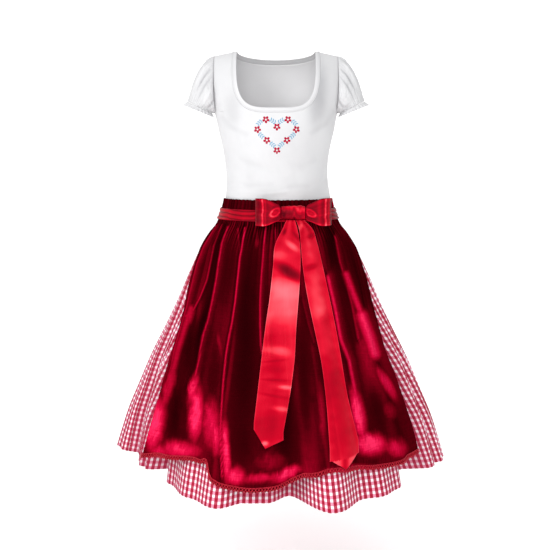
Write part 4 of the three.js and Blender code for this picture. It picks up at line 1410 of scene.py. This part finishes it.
def make_apron():
    u, v = grid(*GRIDS["apron"])
    across = 2 * u - 1
    foot = apron_foot(across)
    z = blend(BAND_FOOT - BAND_SEAM, foot, v**APRON_ROWS_DOWN)
    inside = ease(from_ends(u) / APRON_SIDE_EASE)
    ridge = gathers(u, APRON_GATHERS, 41)
    gather = gather_depth(z, APRON_GATHER, APRON_GATHER_FADE) * ridge * inside * 2
    gather += gather_depth(z, APRON_PLEAT, APRON_PLEAT_FADE) * gathers(u, APRON_PLEATS, 45) * inside
    pucker = bell(z - foot - HEM_PUCKER["above"], HEM_PUCKER["reach"])
    pucker = pucker * (gathers(u, HEM_PUCKER["count"], 47) - 0.5) * HEM_PUCKER["height"] * inside
    points = apron_point(across, z, gather + pucker)
    near_tie = TIE_GATHER_LIGHT["strength"] * clamp(1 - (FOLD_START - z) / TIE_GATHER_LIGHT["reach"])
    nap = clamp(tone_and_painted_light_of(points, apron_angle(across, z)) + near_tie * (ridge - TIE_GATHER_LIGHT["middle"]))
    down = (points[0, 0, 2] - z) * APRON_DRAPE
    piece = cloth("apron_cloth", points, arc(points[:, -1])[:, None], down, "velvet", shades={"nap": nap})
    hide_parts("apron")
    braid = make_braid(points)


# The apron's band: gathers, how far its frilled top stands up, and how the gathers lift its cloth.
BAND_GATHERS, BAND_STAND, BAND_FRILL = 34, 4.0, 1.6
BAND_LIFT = dict(height=1.1, foot=-385.0, ease=8.0)
# The band's tone with painted light: a base tone, painted light on the ridges of its gathers and shade
# between them, random drift, and lighter toward its right end.
BAND_TONE_AND_LIGHT = dict(base=0.17, ridge=0.2, middle=0.55, drift=0.08, end=0.4)
BAND_END_FROM, BAND_END_EASE = 0.93, 0.04


def make_apron_band():
    u, v = grid(*GRIDS["apron_band"])
    across = 2 * u - 1
    ridge = gathers(u, BAND_GATHERS, 43)
    z = blend(BAND_TOP + BAND_FRILL * ridge + BAND_STAND, BAND_FOOT, v)
    lift = BAND_LIFT["height"] * ridge * clamp((z - BAND_LIFT["foot"]) / BAND_LIFT["ease"])
    points = band_point(apron_angle(across, BAND_FOOT + 0 * z), z, APRON_BAND_OUT + lift)
    nap = (
        BAND_TONE_AND_LIGHT["base"] + BAND_TONE_AND_LIGHT["ridge"] * (ridge - BAND_TONE_AND_LIGHT["middle"])
        + BAND_TONE_AND_LIGHT["drift"] * uneven(u, 9, 0.2)
        + BAND_TONE_AND_LIGHT["end"] * ease((u - BAND_END_FROM) / BAND_END_EASE)
    )
    piece = cloth(
        "apron_band_cloth", points, arc(points[:, 0])[:, None], BAND_TOP - z, "velvet",
        shades={"nap": clamp(nap)},
    )
    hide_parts("apron_band")


# Gimp braid: length of a twist, radius of its threads, height of its middle line above the hem and how far
# the two threads swing from it, then the straight thread above and the row of small loops below.
BRAID_PERIOD = 14.0
BRAID_STEPS = 10
BRAID_THREAD = 0.95
BRAID_OUT = VELVET / 2 + 0.6
BRAID_LINE = dict(above=5.0, swing=3.6, cross=0.7)
BRAID_EDGE = dict(above=9.2, radius=0.7, out=0.8)
BRAID_LOOPS = dict(above=0.4, swing=2.0, out=0.9, cross=0.5, radius=0.7)
RISE_ROWS = 7


def make_braid(apron):
    """Gimp braid along the apron's hem: two threads that cross, one along their top, loops below."""
    line = apron[:, -1]
    up = apron[:, -1 - RISE_ROWS]
    square = outward(apron, False, AXIS)[:, -2]
    length = arc(line)
    count = int(length[-1] / BRAID_PERIOD * BRAID_STEPS)
    at = np.linspace(0, length[-1], count)

    def along(values):
        return np.stack([np.interp(at, length, values[:, k]) for k in range(3)], axis=-1)

    base, normal = along(line), along(square)
    rise = along(up - line)
    rise /= np.linalg.norm(rise, axis=-1, keepdims=True)

    def path(above, out):
        above, out = np.broadcast_arrays(above, out, at)[:2]
        return base + rise * above[:, None] + normal * out[:, None]

    turn = 2 * np.pi * at / BRAID_PERIOD
    threads = []
    for phase in (0.0, np.pi):
        above = BRAID_LINE["above"] + BRAID_LINE["swing"] * np.sin(turn + phase)
        out = BRAID_OUT + BRAID_THREAD + BRAID_LINE["cross"] * np.cos(turn + phase)
        threads.append(thread_mesh(path(above, out), BRAID_THREAD, 6))
    edge = path(BRAID_EDGE["above"], BRAID_OUT + BRAID_THREAD * BRAID_EDGE["out"])
    threads.append(thread_mesh(edge, BRAID_THREAD * BRAID_EDGE["radius"], 6))
    above = BRAID_LOOPS["above"] - BRAID_LOOPS["swing"] * np.cos(turn * 2)
    out = BRAID_OUT + BRAID_LOOPS["out"] + BRAID_LOOPS["cross"] * np.sin(turn * 2)
    threads.append(thread_mesh(path(above, out), BRAID_LOOPS["radius"], 5))
    spots, faces = [], []
    for thread_spots, thread_faces in threads:
        shift = len(spots)
        spots += thread_spots
        faces += [[shift + corner for corner in face] for face in thread_faces]
    mesh = bpy.data.meshes.new("apron_braid_gimp")
    mesh.from_pydata(spots, [], faces)
    mesh.polygons.foreach_set("use_smooth", [True] * len(faces))
    mesh.uv_layers.new(name="cloth")
    mesh.materials.append(MATERIALS["braid"])
    piece = bpy.data.objects.new("apron_braid_gimp", mesh)
    bpy.context.collection.objects.link(piece)
    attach(piece, "root")
    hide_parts("apron_braid")
    return piece


# ---------- tie and bow ----------
APRON_END, APRON_END_EASE = 96.0, 10.0


def under_tie(angle, z):
    """What the tie lies on: the bands above and the skirt's first folds below, with the apron in front."""
    wrapped = (angle + 180) % 360 - 180
    apron_share = clamp((APRON_END - np.abs(wrapped)) / APRON_END_EASE)
    extra = blend(0, APRON_BAND_OUT - SKIRT_BAND_OUT, apron_share)
    upper = band_point(angle, np.maximum(z, BAND_FOOT), SKIRT_BAND_OUT + extra)
    lower = cone_point(angle, z, skirt_fold(angle, z) + extra)
    return np.where((z >= BAND_FOOT)[..., None], upper, lower)


def tie_point(angle, z, more=0.0):
    point = under_tie(angle, z)
    flat = point * np.array([1, 1, 0])
    out = flat / np.linalg.norm(flat, axis=-1, keepdims=True)
    return point + out * np.asarray(VELVET / 2 + LAYER + SATIN / 2 + SLOPE_ROOM + more)[..., None]


# Long folds of the tie: how many, how far they wander, how high, how sharp.
TIE_FOLDS = dict(count=2.6, wander=0.45, shiver=0.15, height=1.8, sharpness=1.4)
TIE_EDGE_EASE = 0.06
# Painted light and shade of the tie: a base tone, painted highlights on its raised folds, random drift, and
# painted shade in its valleys.
TIE_GLOW = dict(base=0.20, fold=0.22, drift=0.05, valley=0.20)
# Beyond the bow the tie lies in its shade: from which angle, over how many degrees, how dark.
BOW_SHADE = dict(angle=50.0, ease=10.0, dark=0.14)


def make_tie():
    u, v = grid(*GRIDS["tie"])
    angle = 360 * u - 180
    z = blend(TIE_TOP, TIE_FOOT, v)
    wander = TIE_FOLDS["wander"] * uneven(u, 51, 0.5) + TIE_FOLDS["shiver"] * uneven(u, 52, 0.17)
    long_folds = np.abs(np.sin(np.pi * (v * TIE_FOLDS["count"] + wander)))
    fade = ease(from_ends(v) / TIE_EDGE_EASE)
    points = tie_point(angle, z, TIE_FOLDS["height"] * long_folds ** TIE_FOLDS["sharpness"] * fade)
    glow = TIE_GLOW["base"] + TIE_GLOW["fold"] * long_folds * fade + TIE_GLOW["drift"] * uneven(u, 53, 0.08)
    glow = glow - TIE_GLOW["valley"] * (1 - long_folds) ** 3
    glow = glow - BOW_SHADE["dark"] * ease((angle - BOW_SHADE["angle"]) / BOW_SHADE["ease"])
    piece = cloth(
        "waist_tie_cloth", points, TIE_TOP - z, arc(points[:, 0])[:, None], "satin", closed=True,
        shades={"nap": clamp(glow)},
    )
    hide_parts("waist_tie")


def bow_depth(x):
    """How far forward the bow's middle stands: it curves back with the waist on both sides."""
    away = np.maximum(0, np.abs(x - KNOT["x"]) - KNOT["length"] / 2)
    curve = np.where(x > KNOT["x"], BOW_CURVE["right"], BOW_CURVE["left"])
    return KNOT["depth"] - curve * away**2


# Painted highlight lines down the front of each loop, and a few painted dark ones, where the cloth also
# stands up a little, by side: where in the view, half width, how high, how bright.
LOOP_LINES = {
    -1: ((262.6, 1.1, 0.8, 0.50), (265.4, 0.8, 0.4, 0.22), (258.2, 1.2, 0.4, -0.10), (271.0, 3.0, 0.0, 0.14)),
    1: ((325.6, 1.2, 0.8, 0.52), (328.8, 0.9, 0.3, 0.28), (319.5, 2.4, 0.6, 0.20), (331.5, 1.0, 0.0, -0.10)),
}
# The small rolls beside the knot: middle in the view, half width, half height, turn.
LOOP_ROLLS = {-1: (275.2, 212.6, 5.2, 3.4, -38), 1: (311.0, 213.2, 5.4, 2.8, 32)}
LOOP_SHOULDER_EASE, LOOP_FRONT_EASE = 9.0, 4.0
# Painted light and shade of the loops: a base tone, random drift, painted shade on the layer behind, and how
# far the painted lines wander.
LOOP_GLOW = dict(base=0.19, drift=0.09, behind=0.10, wander=0.5)
# A roll's rim and its inside with painted highlights, the painted shade round it, then the painted highlight
# on the hem along the loop's foot.
ROLL_RIM = dict(width=0.28, light=0.34, height=1.8)
ROLL_INSIDE = dict(reach=1.2, light=0.22)
ROLL_SHADE = dict(at=1.55, width=0.2, dark=0.10)
LOOP_HEM = dict(at=0.97, width=0.02, light=0.25)


def bow_loop(side):
    """A strip folded back on itself: its front, its fold at the side and its back, and its painted light and
    shade.
    """
    u, v = grid(*GRIDS["loop"])
    start = KNOT["x"] + side * (KNOT["length"] / 2 - LOOP["inside"])
    reach = abs((LOOP["left"] if side < 0 else LOOP["right"]) - start)
    out = np.sin(np.pi * u) ** 2
    x = start + side * reach * out
    swell = LOOP["fullness"] * np.sin(2 * np.pi * u) * np.sin(np.pi * u)
    offset = swell * np.where(swell > 0, 1, LOOP["behind"]) + LOOP["layers"] * np.cos(np.pi * u)
    away = reach * out - LOOP["inside"]
    tall = LOOP["pinch"] + LOOP["shoulder"] * ease(away / LOOP_SHOULDER_EASE)
    tall = blend(tall, LOOP["half_height"], ease(away / LOOP["opening"]))
    rise = LOOP["lift"] * out + tall * (1 - 2 * v)
    lean = LOOP["lean"] * np.sqrt(out) * np.maximum(0, -rise)
    front = clamp(swell / LOOP_FRONT_EASE)
    points = place(x, -(bow_depth(x) + offset + lean), KNOT["z"] + rise)
    px, py = seen_at(points)
    px = px + LOOP_GLOW["wander"] * uneven(v, 61 + side, 0.8)
    glow = LOOP_GLOW["base"] + LOOP_GLOW["drift"] * uneven(v + 0.4 * u, 65 + side, 0.5)
    glow = glow - LOOP_GLOW["behind"] * (1 - front)
    stand = np.zeros_like(x)
    for line_x, width, height, light in LOOP_LINES[side]:
        line = bell(px - line_x, width) * front
        glow, stand = glow + light * line, stand + height * line
    x0, y0, half_width, half_height, turn = LOOP_ROLLS[side]
    turn = np.radians(turn)
    along = ((px - x0) * np.cos(turn) + (py - y0) * np.sin(turn)) / half_width
    beside = ((py - y0) * np.cos(turn) - (px - x0) * np.sin(turn)) / half_height
    away = np.hypot(along, beside)
    rim = bell(away - 1, ROLL_RIM["width"]) * front
    inside = clamp(ROLL_INSIDE["reach"] - away) * front
    outside = bell(away - ROLL_SHADE["at"], ROLL_SHADE["width"]) * front
    hem = bell(v - LOOP_HEM["at"], LOOP_HEM["width"]) * front
    glow = glow + ROLL_RIM["light"] * rim + ROLL_INSIDE["light"] * inside
    glow = glow - ROLL_SHADE["dark"] * outside + LOOP_HEM["light"] * hem
    points[..., 1] -= stand + ROLL_RIM["height"] * rim
    return points, clamp(glow)


LOOP_TALL = 64.0
LOOP_FRONT_ROW = 20


def make_loops():
    for name, side in (("left", -1), ("right", 1)):
        points, glow = bow_loop(side)
        centre = tuple(points.reshape(-1, 3).mean(axis=0))
        piece = cloth(
            f"bow_loop_{name}_cloth", points, np.linspace(0, LOOP_TALL, points.shape[1])[None, :],
            arc(points[:, LOOP_FRONT_ROW])[:, None], "satin", centre=centre, shades={"nap": glow},
        )
        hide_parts(f"bow_loop_{name}")


KNOT_SWELL = 0.08
KNOT_BULGE = dict(at=0.82, width=0.10, height=0.10)
KNOT_FOLDS = dict(count=4, wander=0.45, depth=0.8)
# Painted light and shade of the knot: a base tone, painted shade in its folds, a lit side that twists along
# it, and random drift.
KNOT_GLOW = dict(base=0.40, fold=0.22, turn=0.22, twist=2.2, start=1.0, drift=0.06)


def make_knot():
    u, v = grid(*GRIDS["knot"])
    turn = 2 * np.pi * u
    x = KNOT["x"] + KNOT["length"] * (v - 0.5)
    bulge = KNOT_BULGE["height"] * bell(v - KNOT_BULGE["at"], KNOT_BULGE["width"]) * (np.sin(turn) > 0)
    swell = 1 + KNOT_SWELL * np.sin(np.pi * v) + bulge
    wander = KNOT_FOLDS["wander"] * uneven(v, 71, 0.8)
    folds = 0.5 + 0.5 * np.cos(2 * np.pi * (u * KNOT_FOLDS["count"] + wander))
    y = -(KNOT["depth"] + (KNOT["half_depth"] * swell - KNOT_FOLDS["depth"] * folds) * np.cos(turn))
    z = KNOT["z"] + (KNOT["half_height"] * swell - KNOT_FOLDS["depth"] * folds) * np.sin(turn)
    points = place(x, y, z)
    lit = np.sin(turn + KNOT_GLOW["twist"] * v - KNOT_GLOW["start"])
    glow = KNOT_GLOW["base"] - KNOT_GLOW["fold"] * folds + KNOT_GLOW["turn"] * lit
    glow = glow + KNOT_GLOW["drift"] * uneven(v, 73, 0.4)
    piece = cloth(
        "bow_knot_cloth", points, arc(points[:, 0])[:, None], x - x.min(), "satin", closed=True,
        centre=(KNOT["x"], -KNOT["depth"], KNOT["z"]), shades={"nap": clamp(glow)},
    )
    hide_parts("bow_knot")


OVER_TIE = 1.2
SURFACE_STEPS = 12
FURTHEST_SIDE = 0.9


def front_depth(x, z):
    """How far forward the apron, or the tie on it, stands at a place seen from the front."""

    def surface(angle):
        apron = apron_point(angle / apron_edge(angle, z), z)
        return np.where((z >= TIE_FOOT)[..., None], tie_point(angle, z, OVER_TIE), apron)

    point = surface(np.zeros_like(x))
    for step in range(SURFACE_STEPS):
        radius = np.hypot(point[..., 0], point[..., 1])
        angle = np.degrees(np.arcsin(np.clip(x / radius, -FURTHEST_SIDE, FURTHEST_SIDE)))
        point = surface(angle)
    return -point[..., 1]


# Painted highlights and painted shade on the tails: ovals in the view with a strength, bright above 0 and
# dark below.
TAIL_GLOW = (
    (292, 246, 8, 3.2, 38, 0.28),
    (297, 237, 6, 1.8, 50, -0.22),
    (284.5, 232, 1.6, 3.2, 20, -0.30),
    (280, 256, 10, 7, 20, 0.16),
    (290, 272.5, 15, 5.2, 33, -0.46),
    (282, 287, 24, 10, 8, 0.16),
    (284, 304, 22, 22, 10, 0.26),
    (268, 322, 4, 14, 10, 0.08),
    (274, 361, 14, 1.0, -6, -0.10),
    (278, 351, 14, 5.0, 8, 0.24),
    (272, 369, 12, 3.4, 4, -0.06),
    (274, 380, 13, 1.2, 3, -0.14),
    (286, 387.5, 8, 2.2, 5, 0.28),
    (278, 386, 9, 3.4, 5, 0.06),
    (274, 396, 14, 1.4, 10, -0.12),
    (281, 409, 9, 2.6, 8, 0.22),
    (268, 426, 15, 14, 0, -0.12),
    (265, 443.5, 3.6, 2.4, 0, 0.36),
    (300.5, 227, 2.0, 3.6, 0, 0.24),
    (310, 254, 6, 14, 0, 0.12),
    (311, 236, 4.5, 2.4, -20, -0.20),
    (311, 267, 5.5, 3.2, -15, -0.20),
    (318, 300, 7, 26, -6, 0.17),
    (322, 320, 6, 4, -10, -0.06),
    (325, 342, 8, 12, -6, 0.06),
    (333, 388, 12, 28, -8, -0.11),
    (341, 438, 14, 24, -8, -0.05),
)
# The point at a tail's end: share of the way across, share that stays level beside it, fall there, fall of
# the right corner and height of the left one, in millimetres.
TAIL_ENDS = {"left": (0.39, 0.0, 29.0, 22.0, -843.0), "right": (0.55, 0.14, 21.0, -7.0, -907.0)}


TURNED_FROM = 0.5
# Creases and gathers of the tails: their size, lean and stretch, how far they lift the cloth, and how much
# painted light and shade they carry.
TAIL_CREASES = dict(size=60.0, lean=0.6, down=1.2, lift=1.0, glow=0.05)
TAIL_GATHERS = dict(count=1.8, start=0.2, reach=0.10, lift=0.7, glow=0.08)
TAIL_LIFT, TAIL_TOP_EASE = 1.5, 0.03
TAIL_BASE_GLOW = 0.52
# The tails are lighter along both long edges: how narrow, how much lighter.
LIGHTER_EDGES = dict(width=0.02, glow=0.16)
# The turned-back end: its lighter tone, and the painted shade down its middle: how dark, where and how wide.
TURNED_GLOW = dict(base=0.74, crease=0.30, at=0.50, width=0.12)
TAIL_WIDTH = 65.0
FAR_BEHIND = (0.0, 2000.0, 0.0)


def bow_tail(rows, end):
    """A ribbon that hangs on the apron, with where its pointed end is turned back."""
    u, v = grid(*GRIDS["tail"])
    tip, level, drop, fall, foot = end
    top = rows["z"][0]
    corner = clamp((np.where(u < tip, u / tip, (1 - u) / (1 - tip)) - level) / (1 - level))
    slant = (drop * corner + fall * u) * clamp((v - TAIL_PLAIN) / (1 - TAIL_PLAIN))
    z = blend(top, foot, v)
    x = blend(look(rows, "z", z, "start"), look(rows, "z", z, "end"), u)
    stand = look(TAIL_STAND, "z", z, "out")
    depth = np.max([front_depth(x + step, z - slant) for step in TAIL_REACH], axis=0)
    return place(x, -(depth + stand), z - slant), u, v, z - slant < foot - fall * u - TURNED_FROM


def make_tails():
    for name, rows, seed in (("left", TAIL_LEFT, 81), ("right", TAIL_RIGHT, 91)):
        points, u, v, turned = bow_tail(rows, TAIL_ENDS[name])
        x, z = points[..., 0], points[..., 2]
        lean, down = TAIL_CREASES["lean"], TAIL_CREASES["down"]
        creases = mottle(x + lean * z, z * down, seed, TAIL_CREASES["size"])
        gathered = np.cos(2 * np.pi * (u * TAIL_GATHERS["count"] + TAIL_GATHERS["start"]))
        gathered = gathered * bell(v, TAIL_GATHERS["reach"])
        lift = TAIL_LIFT + TAIL_CREASES["lift"] * creases + TAIL_GATHERS["lift"] * gathered
        points[..., 1] -= np.maximum(lift * ease(v / TAIL_TOP_EASE), 0)
        px, py = seen_at(points)
        glow = TAIL_BASE_GLOW + TAIL_CREASES["glow"] * creases + TAIL_GATHERS["glow"] * gathered
        glow = glow + LIGHTER_EDGES["glow"] * bell(from_ends(u), LIGHTER_EDGES["width"])
        for x0, y0, half_width, half_height, turn, strength in TAIL_GLOW:
            glow = glow + strength * near_spot(px, py, x0, y0, half_width, half_height, turn)
        if name == "right":
            crease = TURNED_GLOW["crease"] * bell(u - TURNED_GLOW["at"], TURNED_GLOW["width"])
            glow = np.where(turned, TURNED_GLOW["base"] - crease, glow)
        piece = cloth(
            f"bow_tail_{name}_cloth", points, u * TAIL_WIDTH, -z[:1], "satin", centre=FAR_BEHIND,
            shades={"nap": clamp(glow)},
        )
        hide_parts(f"bow_tail_{name}")


# ---------- stage ----------
FLOOR_Z, FLOOR_REACH, WALL_TOP = -1.34, 9.0, 8.0
FLOOR_BACK, FLOOR_CURVE, CURVE_STEPS = 2.6, 1.2, 24


def make_stage():
    """A pale floor that curves up into a wall behind, in metres."""
    line = [(-FLOOR_REACH, FLOOR_Z)]
    for step in np.linspace(0, np.pi / 2, CURVE_STEPS):
        up = FLOOR_CURVE * (1 - np.cos(step))
        line.append((FLOOR_BACK + FLOOR_CURVE * np.sin(step), FLOOR_Z + up))
    line.append((FLOOR_BACK + FLOOR_CURVE, WALL_TOP))
    spots = [(x, y, z) for y, z in line for x in (-FLOOR_REACH, 0.0, FLOOR_REACH)]
    faces = [
        (3 * row + k, 3 * row + k + 1, 3 * row + k + 4, 3 * row + k + 3)
        for row in range(len(line) - 1) for k in range(2)
    ]
    mesh = bpy.data.meshes.new("floor")
    mesh.from_pydata(spots, [], faces)
    mesh.polygons.foreach_set("use_smooth", [True] * len(faces))
    floor = bpy.data.objects.new("floor", mesh)
    bpy.context.collection.objects.link(floor)
    material = bpy.data.materials.new("floor")
    material.use_nodes = True
    shader = material.node_tree.nodes["Principled BSDF"]
    shader.inputs["Base Color"].default_value = (0.93, 0.93, 0.93, 1.0)
    shader.inputs["Roughness"].default_value = 0.9
    shader.inputs["Emission Color"].default_value = (1.0, 1.0, 1.0, 1.0)
    shader.inputs["Emission Strength"].default_value = 0.3
    mesh.materials.append(material)


def soft_box(name, place_at, aim, size, power):
    """A square soft light at a place in metres, aimed at another, with its power in watts."""
    data = bpy.data.lights.new(name, "AREA")
    data.shape = "RECTANGLE"
    data.size, data.size_y = size
    data.energy = power
    light = bpy.data.objects.new(name, data)
    light.location = place_at
    light.rotation_euler = (Vector(aim) - Vector(place_at)).to_track_quat("-Z", "Y").to_euler()
    bpy.context.collection.objects.link(light)


WORLD_LIGHT = 0.72


def make_lights():
    world = bpy.data.worlds.new("studio")
    world.use_nodes = True
    background = world.node_tree.nodes["Background"]
    background.inputs["Color"].default_value = (1.0, 1.0, 1.0, 1.0)
    background.inputs["Strength"].default_value = WORLD_LIGHT
    bpy.context.scene.world = world
    soft_box("key", (-2.2, -2.4, 1.5), (0, 0, -0.5), (1.6, 1.6), 55)
    soft_box("fill", (2.4, -2.4, 0.2), (0, 0, -0.5), (1.8, 1.8), 6)
    soft_box("front", (0.0, -2.8, 0.2), (0, 0, -0.4), (1.2, 1.2), 25)
    bpy.context.scene.view_settings.view_transform = "Standard"


make_camera()
MATERIALS = make_materials()
make_top()
make_neck_binding()
make_sleeves()
make_skirt()
make_apron()
make_apron_band()
make_tie()
make_loops()
make_knot()
make_tails()
make_stage()
make_lights()
